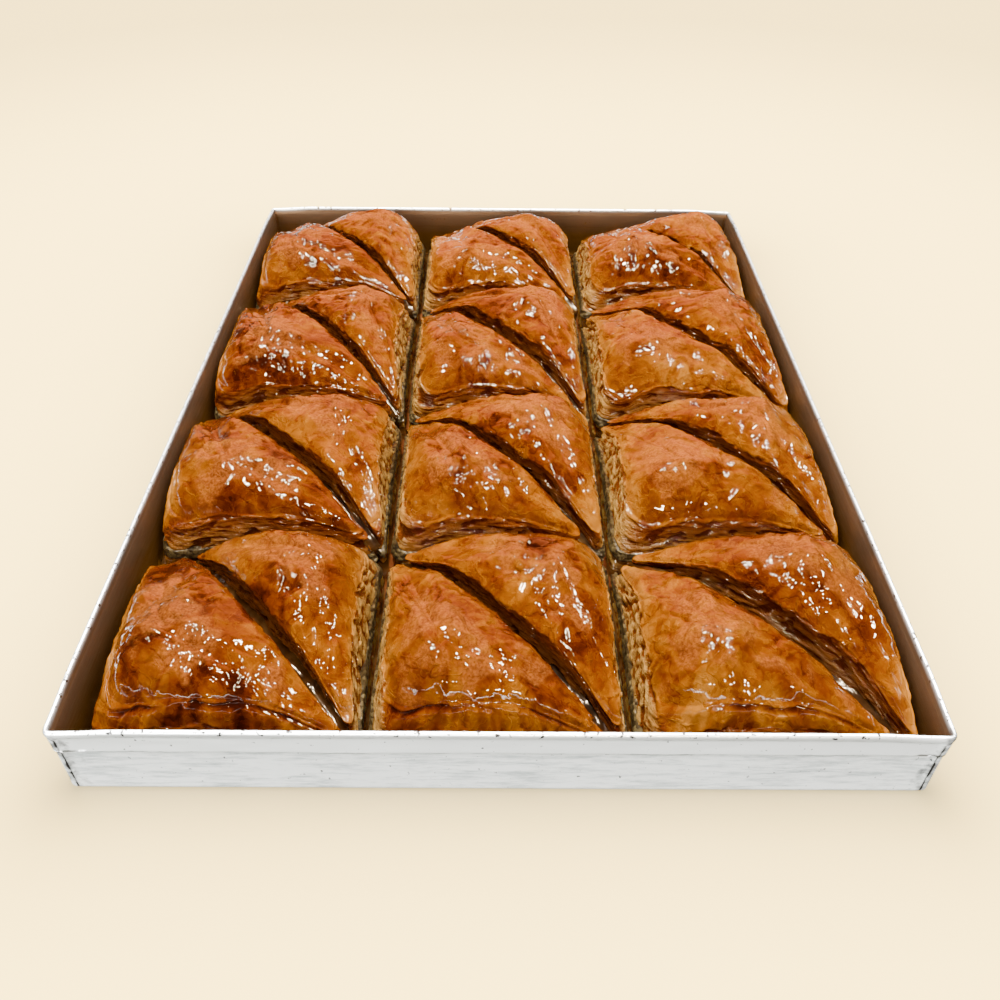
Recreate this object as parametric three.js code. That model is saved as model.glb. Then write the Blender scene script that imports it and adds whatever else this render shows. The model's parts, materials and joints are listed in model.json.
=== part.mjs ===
// A full bakery tray of pistachio baklava: an aluminium sheet tray with a turned-down hem, and
// twelve cut blocks of layered pastry, each cut again corner to corner into two puffed triangles.
// Millimetres, +Z up, the tray's front at -Y. The origin is on the underside, below the middle.

import * as THREE from "three";

// The tray, over its rim.
const TRAY_WIDTH = 300;
const TRAY_LENGTH = 400;
const TRAY_HEIGHT = 34;
const SHEET = 1.2;
const RIM_OVERHANG = 1.4; // the rolled rim stands this far outside the wall
const WALL_SPLAY = 1.2; // and the wall this much wider at its foot than under the hem
const HEM_BOTTOM = 22; // the lower edge of the band that is folded down outside the wall
const HEM_STEP = 0.9;
const CORNER_RADIUS = 1.6; // of the wall's outer face
const CORNER_STEPS_OF_TRAY = 5;
const FLOOR_FILLET = 2;
const RIM_DIP = 1.1; // the rim is hammered lower where the corner is folded
const RIM_DIP_REACH = 26;
const LAP_WIDTH = 1.2; // the folded sheet that wraps each corner
const LAP_TAPER = 0.4; // it is this much wider at the rim
const LAP_STEP = 0.7;
const LAP_EDGE = 0.4;

// The cuts through the pastry, seen from above.
const WALL_CLEARANCE = 1.6;
const CUTS_ALONG = [-48.5, 46]; // x of the two long cuts
const CUTS_ACROSS = [-97.5, -2.5, 102]; // y of the three cross cuts
const HALF_CUT = 0.9;
const SLANTING_GAP = 2.16; // along a block's sides, between a slanting cut and each triangle

// The twelve blocks, rows from the front and columns from the left. A slanting cut starts this far
// right of its block's back left corner, and ends this far left of the front right one.
const CUT_STARTS = [
  [12, 0, 0],
  [0, -2, -2],
  [8, -2, -2],
  [9, 6, 18],
];
const CUT_ENDS = [
  [-2, 0, 1],
  [0, 3, 0],
  [0, 1, 3],
  [0, -3, 0],
];
// How far each slanting side leans back up to the crust's edge, and how high the crust puffs.
const CUT_LEANS = [
  [2.2, 3, 5.5],
  [2.5, 2.5, 3],
  [2.5, 4, 3],
  [2, 2.5, 2],
];
const PEAKS = [
  [45, 45, 47],
  [43, 44.5, 44],
  [43, 43, 43.5],
  [44.5, 41.5, 44],
];

// One puffed triangle. Its sides are, in order, the one along a cross cut, the slanting one and the
// one along a long cut. The first and last meet at its square corner.
const REST_GAP = 0.3;
const CUT_LIP = 34; // the height of the crust's edge at the ends of a slanting side
const CUT_CREST = 4; // it is this much higher in the middle
const HALVES = {
  lower: { leans: [7, 6.5], lips: [29.5, 31], tipLips: [21, 17] },
  upper: { leans: [8, 5], lips: [32.5, 31], tipLips: [19, 21] },
};
const FRONT_ROW = { lean: 11, lip: 33 };
const LEFT_WALL_LEANS = [8.5, 4, 2.5, 4.5]; // rows from the front
const LEFT_WALL_LIP = 33;
const RIGHT_WALL = { lean: 4.5, lip: 32 };
const PEAK_SPREAD = 0.8;
const LIP_SPREAD = 1;
const TIP_LIP_SPREAD = 1.5;
const TIP_REACH = 36; // a tip is lower up to this far from its point
const TIP_LEAN_SHARE = 0.4; // and its sides lean this much less there
const SQUARE_DROP = 4.5; // the crust curls down over the square corner
const SQUARE_DROP_REACH = 25;
const LEAN_SPREAD = 0.8;
const LEAN_POWER = 1.45;
const SQUARE_CORNER_RADIUS = [4, 10]; // at the foot, at the crust's edge
const TIP_RADIUS = [1.6, 2.4];
const EDGE_BULGE = 1.2;
const CENTRE_SHIFT = 2;
const CENTRE_WEIGHTS = [Math.SQRT2 - 1, 1 - Math.SQRT1_2, 1 - Math.SQRT1_2]; // the inscribed circle's
const CROWN_RADIUS = 21; // the crown turns from a triangle to a circle of this size
const DOME_POWER = 2;
const LUMP_HEIGHT = 0.45;
const LUMP_LENGTHS = [31, 23, 17, 12];

// Mesh steps: the sides and corners of a triangle's outline, and its rings.
const SIDE_STEPS = [6, 8, 6];
const CORNER_STEPS = [3, 2, 2];
const SIDE_RINGS = [
  // share of the crust's edge height, extra inset
  [0, 0],
  [0.27, -0.2],
  [0.36, 0.8],
  [0.84, 0.1],
  [0.9, 1],
  [1, 0],
];
const DOME_RINGS = [0.2, 0.45, 0.72];

const clamp01 = (x) => Math.min(1, Math.max(0, x));
const smooth = (x) => clamp01(x) ** 2 * (3 - 2 * clamp01(x));
const mix = (a, b, t) => a + (b - a) * t;

// Repeatable draws between -1 and 1, one sequence for each seed.
function makeDraw(seed) {
  let state = Math.imul(seed + 1, 2654435761) >>> 0;
  const draw = () => {
    state = (Math.imul(1664525, state) + 1013904223) >>> 0;
    return (2 * state) / 4294967296 - 1;
  };
  for (let i = 0; i < 4; i++) draw();
  return draw;
}

// A closed mesh through equal rings of points, shut by a fan at its first and last centre.
function loft(rings, firstCentre, lastCentre) {
  const count = rings[0].length;
  const points = [...rings.flat(), firstCentre, lastCentre];
  const first = points.length - 2;
  const last = points.length - 1;
  const index = [];
  for (let i = 0; i < count; i++) {
    const j = (i + 1) % count;
    index.push(first, j, i);
    for (let r = 0; r + 1 < rings.length; r++) {
      const low = r * count;
      const high = low + count;
      index.push(low + i, low + j, high + j, low + i, high + j, high + i);
    }
    const top = (rings.length - 1) * count;
    index.push(last, top + i, top + j);
  }
  const geometry = new THREE.BufferGeometry();
  const positions = new THREE.Float32BufferAttribute(points.flat(), 3);
  geometry.setAttribute("position", positions);
  geometry.setIndex(index);
  geometry.computeVertexNormals();
  return geometry;
}

// The tray's outline at one level: a rounded rectangle that is offset outwards from the wall.
// The corner lap stands proud by lap, and the level sinks by dip near the corners.
function trayRing({ offset, z, lap = 0, dip = 0 }) {
  const halfWidth = TRAY_WIDTH / 2 - RIM_OVERHANG;
  const halfLength = TRAY_LENGTH / 2 - RIM_OVERHANG;
  const radius = Math.max(SHEET / 2, CORNER_RADIUS + offset);
  const lapEdge = LAP_WIDTH + (LAP_TAPER * z) / TRAY_HEIGHT;
  const corners = [
    [1, -1, -Math.PI / 2],
    [1, 1, 0],
    [-1, 1, Math.PI / 2],
    [-1, -1, Math.PI],
  ];
  const ring = [];
  corners.forEach(([sx, sy, start], k) => {
    const cx = sx * (halfWidth - CORNER_RADIUS);
    const cy = sy * (halfLength - CORNER_RADIUS);
    for (let i = 0; i <= CORNER_STEPS_OF_TRAY; i++) {
      const angle = start + (i / CORNER_STEPS_OF_TRAY) * (Math.PI / 2);
      const reach = radius + lap;
      const x = cx + reach * Math.cos(angle);
      const y = cy + reach * Math.sin(angle);
      ring.push([x, y, z - dip]);
    }
    const alongX = k % 2 === 1;
    const run = 2 * ((alongX ? halfWidth : halfLength) - CORNER_RADIUS);
    const way = start + Math.PI; // along the wall that follows this corner
    const stops = [lapEdge, lapEdge + LAP_EDGE, RIM_DIP_REACH / 2, RIM_DIP_REACH, run / 4];
    const all = [...stops, run / 2, ...stops.map((s) => run - s).reverse()];
    for (const s of all) {
      const fromCorner = Math.min(s, run - s);
      const proud = radius + (fromCorner <= lapEdge ? lap : 0);
      const sink = dip * (1 - smooth(fromCorner / RIM_DIP_REACH));
      const outward = [Math.cos(start + Math.PI / 2), Math.sin(start + Math.PI / 2)];
      const x = cx + proud * outward[0] + s * Math.cos(way);
      const y = cy + proud * outward[1] + s * Math.sin(way);
      ring.push([x, y, z - sink]);
    }
  });
  return ring;
}

// The sheet's section, from the underside over the hem and the rolled rim and down to the floor.
function trayGeometry() {
  const inner = -SHEET;
  const top = TRAY_HEIGHT;
  const hem = { lap: LAP_STEP * 0.4, dip: RIM_DIP };
  const rings = [
    { offset: WALL_SPLAY - 1.6, z: 0 },
    { offset: WALL_SPLAY - 0.5, z: 0.4 },
    { offset: WALL_SPLAY, z: 1.6 },
    { offset: 0, z: HEM_BOTTOM, lap: LAP_STEP },
    { offset: HEM_STEP, z: HEM_BOTTOM + 0.35, lap: LAP_STEP * 0.4 },
    { offset: HEM_STEP, z: top - 3, ...hem },
    { offset: RIM_OVERHANG, z: top - 2.1, dip: RIM_DIP },
    { offset: RIM_OVERHANG, z: top - 1.1, dip: RIM_DIP },
    { offset: RIM_OVERHANG - 0.5, z: top - 0.2, dip: RIM_DIP },
    { offset: RIM_OVERHANG - 1, z: top, dip: RIM_DIP },
    { offset: inner + 0.8, z: top - 0.5, dip: RIM_DIP },
    { offset: inner + 0.6, z: top - 2, dip: RIM_DIP },
    { offset: inner, z: top - 4.5, dip: RIM_DIP },
    { offset: inner + WALL_SPLAY, z: SHEET + FLOOR_FILLET },
    { offset: inner + WALL_SPLAY - 0.6, z: SHEET + 0.6 },
    { offset: inner + WALL_SPLAY - FLOOR_FILLET, z: SHEET },
  ];
  return loft(rings.map(trayRing), [0, 0, 0], [0, 0, SHEET]);
}

// One triangle of pastry, seen from above, whose three sides can lean in by different amounts.
class Triangle {
  constructor({ corners, radii, leans, lips, tipLips, peak }) {
    Object.assign(this, { corners, radii, leans, lips, tipLips, peak });
    this.normals = corners.map((p, k) => {
      const q = corners[(k + 1) % 3];
      const length = Math.hypot(q[0] - p[0], q[1] - p[1]);
      return [(q[1] - p[1]) / length, (p[0] - q[0]) / length];
    });
  }

  // The point of corner k's arc at a turn from 0, where the side before it ends, to 1. The arc's
  // centre is where the two sides meet once each has moved in by its inset and the radius.
  arcPoint(k, turn, insets, share) {
    const radius = mix(this.radii[k][0], this.radii[k][1], share);
    const p = this.corners[k];
    const a = this.normals[(k + 2) % 3];
    const b = this.normals[k];
    const c = a[0] * b[0] + a[1] * b[1];
    const insetA = insets[(k + 2) % 3] + radius;
    const insetB = insets[k] + radius;
    const alongA = (insetA - c * insetB) / (1 - c * c);
    const alongB = (insetB - c * insetA) / (1 - c * c);
    const from = Math.atan2(a[1], a[0]);
    let sweep = Math.atan2(b[1], b[0]) - from;
    if (sweep < 0) sweep += 2 * Math.PI;
    const angle = from + turn * sweep;
    const x = p[0] - alongA * a[0] - alongB * b[0] + radius * Math.cos(angle);
    const y = p[1] - alongA * a[1] - alongB * b[1] + radius * Math.sin(angle);
    return [x, y];
  }

  // The stops of the outline: each has its corner, its turn or its way along the side.
  stops() {
    const list = [];
    for (let k = 0; k < 3; k++) {
      const arc = CORNER_STEPS[k];
      const side = SIDE_STEPS[k];
      for (let i = 0; i <= arc; i++) list.push({ k, turn: i / arc, along: 0 });
      for (let i = 1; i < side; i++) list.push({ k, turn: 1, along: i / side });
    }
    return list;
  }

  // The outline's point at a stop, at an inset. share goes from 0 at the foot to 1 at the crust.
  point(stop, insets, share, bulges) {
    const start = this.arcPoint(stop.k, stop.turn, insets, share);
    if (!stop.along) return start;
    const end = this.arcPoint((stop.k + 1) % 3, 0, insets, share);
    const n = this.normals[stop.k];
    const bulge = share * bulges[stop.k] * Math.sin(Math.PI * stop.along);
    return [
      mix(start[0], end[0], stop.along) + n[0] * bulge,
      mix(start[1], end[1], stop.along) + n[1] * bulge,
    ];
  }
}

// One piece: leaning flaky sides up to the crust's edge, and a puffed crust over them.
function pieceGeometry(triangle, seed) {
  const draw = makeDraw(seed);
  const foot = SHEET + REST_GAP;
  const peak = triangle.peak + PEAK_SPREAD * draw();
  const lips = triangle.lips.map((lip) => lip + LIP_SPREAD * draw());
  const tipSpread = TIP_LIP_SPREAD * draw();
  const leans = triangle.leans.map((lean) => lean + LEAN_SPREAD * draw());
  const bulges = [0, 1, 2].map(() => EDGE_BULGE * draw());
  const shift = [CENTRE_SHIFT * draw(), CENTRE_SHIFT * draw()];
  const lumps = LUMP_LENGTHS.map((length) => ({
    wave: (2 * Math.PI) / length,
    way: Math.PI * draw(),
    phase: Math.PI * draw(),
  }));
  const lump = (x, y) =>
    lumps.reduce((sum, { wave, way, phase }) => {
      const along = x * Math.cos(way) + y * Math.sin(way);
      return sum + LUMP_HEIGHT * Math.sin(wave * along + phase);
    }, 0);

  const upright = [0, 0, 0];
  const tips = [1, 2].map((k) => triangle.arcPoint(k, 0.5, upright, 0));
  const stops = triangle.stops();
  const edges = stops.map((stop) => {
    const [x, y] = triangle.point(stop, upright, 0, upright);
    const away = tips.map((tip) => Math.hypot(x - tip[0], y - tip[1]));
    const nearTip = away[0] < away[1] ? 0 : 1;
    const share = clamp01(away[nearTip] / TIP_REACH);
    const body = share * (2 - share);
    const square = triangle.corners[0];
    const fromSquare = Math.hypot(x - square[0], y - square[1]);
    const drop = SQUARE_DROP * (1 - smooth(fromSquare / SQUARE_DROP_REACH));
    const crest = stop.k === 1 ? CUT_CREST * Math.sin(Math.PI * stop.along) : 0;
    const lip = mix(lips[(stop.k + 2) % 3], lips[stop.k], stop.turn) + crest - drop;
    const z = mix(triangle.tipLips[nearTip] + tipSpread, lip, body);
    return { z, leanShare: mix(TIP_LEAN_SHARE, 1, body) };
  });
  const sidePoint = (i, share, extra) => {
    const { z, leanShare } = edges[i];
    const insets = leans.map((lean) => lean * leanShare * share ** LEAN_POWER + extra);
    return [...triangle.point(stops[i], insets, share, bulges), mix(foot, z, share)];
  };
  const rings = SIDE_RINGS.map(([share, extra]) => stops.map((_, i) => sidePoint(i, share, extra)));

  const centre = [0, 1].map((axis) => {
    const weighted = triangle.corners.map((p, k) => CENTRE_WEIGHTS[k] * p[axis]);
    return weighted[0] + weighted[1] + weighted[2] + shift[axis];
  });
  const crustEdge = rings[rings.length - 1];
  for (const t of DOME_RINGS) {
    const rise = 1 - (1 - t) ** DOME_POWER;
    const domePoint = ([x, y, z]) => {
      const away = [x - centre[0], y - centre[1]];
      const far = Math.hypot(...away);
      const reach = (1 - t) * mix(far, CROWN_RADIUS, smooth(t));
      const px = centre[0] + (away[0] / far) * reach;
      const py = centre[1] + (away[1] / far) * reach;
      return [px, py, mix(z, peak, rise) + rise * lump(px, py)];
    };
    rings.push(crustEdge.map(domePoint));
  }
  return loft(rings, [...centre, foot], [...centre, peak + lump(...centre)]);
}

const aluminium = new THREE.MeshStandardMaterial({ color: 0xc4c8c8, roughness: 0.42, metalness: 1 });
const pastry = new THREE.MeshStandardMaterial({ color: 0xb0641c, roughness: 0.25, metalness: 0 });

const tray = new THREE.Group();
tray.name = "tray_of_baklava";

const pan = new THREE.Mesh(trayGeometry(), aluminium);
pan.name = "tray";
tray.add(pan);

const inside = RIM_OVERHANG + SHEET + WALL_CLEARANCE - HALF_CUT;
const columns = [-TRAY_WIDTH / 2 + inside, ...CUTS_ALONG, TRAY_WIDTH / 2 - inside];
const rows = [-TRAY_LENGTH / 2 + inside, ...CUTS_ACROSS, TRAY_LENGTH / 2 - inside];

// The radii of a tip that reaches over past its block's side, blunt enough to stay inside it.
function tipRadii(over, angle) {
  const blunt = Math.max(0, over) / (1 / Math.tan(angle / 2) - 1);
  return TIP_RADIUS.map((radius) => radius + blunt);
}

// The two triangles of a block, each with its corners counter-clockwise and the cuts' width left out.
function blockTriangles(column, row) {
  const [left, right] = [columns[column] + HALF_CUT, columns[column + 1] - HALF_CUT];
  const [front, back] = [rows[row] + HALF_CUT, rows[row + 1] - HALF_CUT];
  const start = CUT_STARTS[row][column];
  const end = CUT_ENDS[row][column];
  const slope = (back - front) / (right - end - left - start);
  const flat = Math.atan(slope); // the cut's angle with the cross cuts
  const steep = Math.PI / 2 - flat;
  const gap = SLANTING_GAP;
  const cutLean = CUT_LEANS[row][column];
  const sides = Object.fromEntries(
    Object.entries(HALVES).map(([half, { leans, lips, tipLips }]) => [
      half,
      {
        leans: [leans[0], cutLean, leans[1]],
        lips: [lips[0], CUT_LIP, lips[1]],
        tipLips,
        peak: PEAKS[row][column],
      },
    ]),
  );
  if (row === 0) {
    sides.lower.leans[0] = FRONT_ROW.lean;
    sides.lower.lips[0] = FRONT_ROW.lip;
  }
  if (column === 0) {
    sides.lower.leans[2] = LEFT_WALL_LEANS[row];
    sides.lower.lips[2] = LEFT_WALL_LIP;
  }
  if (column === columns.length - 2) {
    sides.upper.leans[2] = RIGHT_WALL.lean;
    sides.upper.lips[2] = RIGHT_WALL.lip;
  }
  const lower = {
    corners: [
      [left, front],
      [right - end - gap, front],
      [left, back + start * slope - gap],
    ],
    radii: [SQUARE_CORNER_RADIUS, tipRadii(-end - gap, flat), tipRadii(start * slope - gap, steep)],
  };
  const upper = {
    corners: [
      [right, back],
      [left + start + gap, back],
      [right, front - end * slope + gap],
    ],
    radii: [SQUARE_CORNER_RADIUS, tipRadii(-start - gap, flat), tipRadii(end * slope - gap, steep)],
  };
  return {
    lower: new Triangle({ ...lower, ...sides.lower }),
    upper: new Triangle({ ...upper, ...sides.upper }),
  };
}

for (let row = 0; row < rows.length - 1; row++) {
  for (let column = 0; column < columns.length - 1; column++) {
    const halves = Object.entries(blockTriangles(column, row));
    halves.forEach(([half, triangle], i) => {
      const seed = 100 * (row + 1) + 10 * (column + 1) + i;
      const piece = new THREE.Mesh(pieceGeometry(triangle, seed), pastry);
      piece.name = `baklava_row${row + 1}_column${column + 1}_${half}`;
      tray.add(piece);
    });
  }
}

export default tray;
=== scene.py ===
"""Dresses a bakery tray of pistachio baklava.

Twelve blocks of layered pastry, each cut corner to corner, stand in a worn aluminium tray. Every
triangle has leaning leaf edges, a band of ground pistachio between its leaves and a puffed crust
under clear syrup, and syrup stands in the cuts.
"""

from __future__ import annotations

import json
import logging
import math
from dataclasses import dataclass, field
from enum import Enum

import bpy
import numpy as np
from mathutils import Matrix, Vector

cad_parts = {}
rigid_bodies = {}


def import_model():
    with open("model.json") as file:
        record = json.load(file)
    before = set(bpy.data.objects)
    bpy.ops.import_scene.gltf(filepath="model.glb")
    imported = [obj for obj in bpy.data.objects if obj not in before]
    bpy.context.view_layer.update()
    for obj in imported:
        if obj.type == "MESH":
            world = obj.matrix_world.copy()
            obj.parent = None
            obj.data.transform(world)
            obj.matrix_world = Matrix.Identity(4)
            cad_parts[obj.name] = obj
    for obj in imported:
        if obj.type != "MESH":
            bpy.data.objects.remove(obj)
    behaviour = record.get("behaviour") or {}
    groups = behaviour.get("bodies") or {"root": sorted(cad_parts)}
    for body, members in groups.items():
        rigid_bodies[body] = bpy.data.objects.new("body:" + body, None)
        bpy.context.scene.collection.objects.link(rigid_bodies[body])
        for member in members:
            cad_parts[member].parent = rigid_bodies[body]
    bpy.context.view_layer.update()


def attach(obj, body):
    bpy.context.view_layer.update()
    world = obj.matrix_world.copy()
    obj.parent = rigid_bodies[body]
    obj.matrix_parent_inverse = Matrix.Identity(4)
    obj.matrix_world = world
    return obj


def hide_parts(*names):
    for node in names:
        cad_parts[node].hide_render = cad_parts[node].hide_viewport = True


LOG = logging.getLogger("baklava")
MM = 0.001
TAU = 2 * math.pi

Inputs = dict[str, object]


def clamp01(x: np.ndarray) -> np.ndarray:
    """Limits x to 0..1."""
    return np.clip(x, 0.0, 1.0)


def smooth(x: np.ndarray) -> np.ndarray:
    """The cubic 3x^2 - 2x^3 that eases from 0 to 1."""
    t = clamp01(x)
    return t * t * (3 - 2 * t)


def mix(a: np.ndarray, b: np.ndarray, t: np.ndarray) -> np.ndarray:
    """The straight blend a + (b - a) t."""
    return a + (b - a) * t


def linear(colour: str) -> tuple[float, float, float, float]:
    """Turns an sRGB hex value to linear light.

    Args:
        colour: a hash sign and six hex digits.

    Returns:
        Red, green, blue and an alpha of 1.
    """
    parts = [int(colour[i : i + 2], 16) / 255 for i in (1, 3, 5)]
    red, green, blue = [c / 12.92 if c <= 0.04045 else ((c + 0.055) / 1.055) ** 2.4 for c in parts]
    return red, green, blue, 1.0


def per_mm(length: float) -> float:
    """The texture scale that repeats once in a length in millimetres."""
    return 1 / (length * MM)


class Draw:
    """Repeatable draws between -1 and 1, the same sequence that the part's solids use."""

    def __init__(self, seed: int) -> None:
        """Starts the sequence of one seed."""
        self.state = ((seed + 1) * 2654435761) & 0xFFFFFFFF
        for _ in range(4):
            self()

    def __call__(self) -> float:
        """The next draw."""
        self.state = (1664525 * self.state + 1013904223) & 0xFFFFFFFF
        return 2 * self.state / 4294967296 - 1


class Grain:
    """Gradient noise: each corner of a lattice holds a random slope, eased between corners."""

    def __init__(self, seed: int) -> None:
        """Draws the table of slopes and the order they are picked in."""
        random = np.random.default_rng(seed)
        self.order = np.tile(random.permutation(256), 2)
        slopes = random.normal(size=(256, 3))
        self.slopes = slopes / np.linalg.norm(slopes, axis=1)[:, None]

    def __call__(self, points: np.ndarray, length: float | tuple[float, ...]) -> np.ndarray:
        """Values of about -1 to 1.

        Args:
            points: places in millimetres, shape (..., 3).
            length: the size of a lattice cell in millimetres, one for all axes or one each.

        Returns:
            One value for each point.
        """
        p = points / np.asarray(length, dtype=float)
        cell = np.floor(p).astype(np.int64)
        local = p - cell
        ease = local**3 * (local * (local * 6 - 15) + 10)
        total = np.zeros(p.shape[:-1])
        for corner in np.ndindex(2, 2, 2):
            x, y, z = np.moveaxis((cell + corner) & 255, -1, 0)
            slope = self.slopes[self.order[self.order[self.order[x] + y] + z]]
            step = np.array(corner)
            weight = np.prod(np.where(step == 1, ease, 1 - ease), -1)
            total += weight * ((local - step) * slope).sum(-1)
        return 1.6 * total

    def ridge(self, points: np.ndarray, length: float | tuple[float, ...]) -> np.ndarray:
        """Noise folded at zero, 1 - 2|noise|, so that it has sharp crests at 1."""
        return 1 - 2 * np.abs(self(points, length))


def spread(plan: np.ndarray, third: np.ndarray | float) -> np.ndarray:
    """Plan points with a third coordinate beside them."""
    return np.concatenate([plan, np.broadcast_to(third, plan.shape[:-1])[..., None]], -1)


@dataclass
class Surface:
    """Rings of points in millimetres, with values beside each point.

    The rings run from bottom to top, or from one end to the other, and their points run
    anticlockwise as seen from the last ring.
    """

    rings: np.ndarray
    values: dict[str, np.ndarray] = field(default_factory=dict)

    def mesh(self, name: str) -> bpy.types.Object:
        """Makes a closed, smooth object, shut by a fan at the middle of its first and last ring.

        Args:
            name: the object's name.

        Returns:
            The new object, whose mesh holds the values as attributes.
        """
        count, steps = self.rings.shape[:2]
        ends = np.stack([self.rings[0].mean(0), self.rings[-1].mean(0)])
        points = np.concatenate([self.rings.reshape(-1, 3), ends]) * MM
        around = np.arange(steps)
        onward = (around + 1) % steps
        base = np.arange(count - 1)[:, None] * steps
        low, turn = (base + around).ravel(), (base + onward).ravel()
        quads = np.stack([low, turn, turn + steps, low + steps], -1)
        top = (count - 1) * steps
        bottom_fan = np.stack([onward, around, np.full(steps, count * steps)], -1)
        top_fan = np.stack([top + around, top + onward, np.full(steps, count * steps + 1)], -1)
        mesh = bpy.data.meshes.new(name)
        faces = [*quads.tolist(), *bottom_fan.tolist(), *top_fan.tolist()]
        mesh.from_pydata(points.tolist(), [], faces)
        for key, value in self.values.items():
            flat = np.concatenate([value.ravel(), [value[0].mean(), value[-1].mean()]])
            attribute = mesh.attributes.new(key, "FLOAT", "POINT")
            attribute.data.foreach_set("value", flat.astype(np.float32))
        mesh.shade_smooth()
        piece = bpy.data.objects.new(name, mesh)
        bpy.context.scene.collection.objects.link(piece)
        return piece


class Half(Enum):
    """Which triangle of a block a piece is."""

    LOWER = "lower"
    UPPER = "upper"


@dataclass(frozen=True)
class TraySizes:
    """The tray's driving sizes in millimetres, as in the part."""

    width: float = 300
    length: float = 400
    height: float = 34
    sheet: float = 1.2
    rim_overhang: float = 1.4
    wall_splay: float = 1.2
    hem_bottom: float = 22
    hem_step: float = 0.9
    corner_radius: float = 1.6
    floor_fillet: float = 2
    rim_dip: float = 1.1
    rim_dip_reach: float = 26
    lap_width: float = 1.2
    lap_taper: float = 0.4
    lap_step: float = 0.7
    lap_edge: float = 0.4


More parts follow.
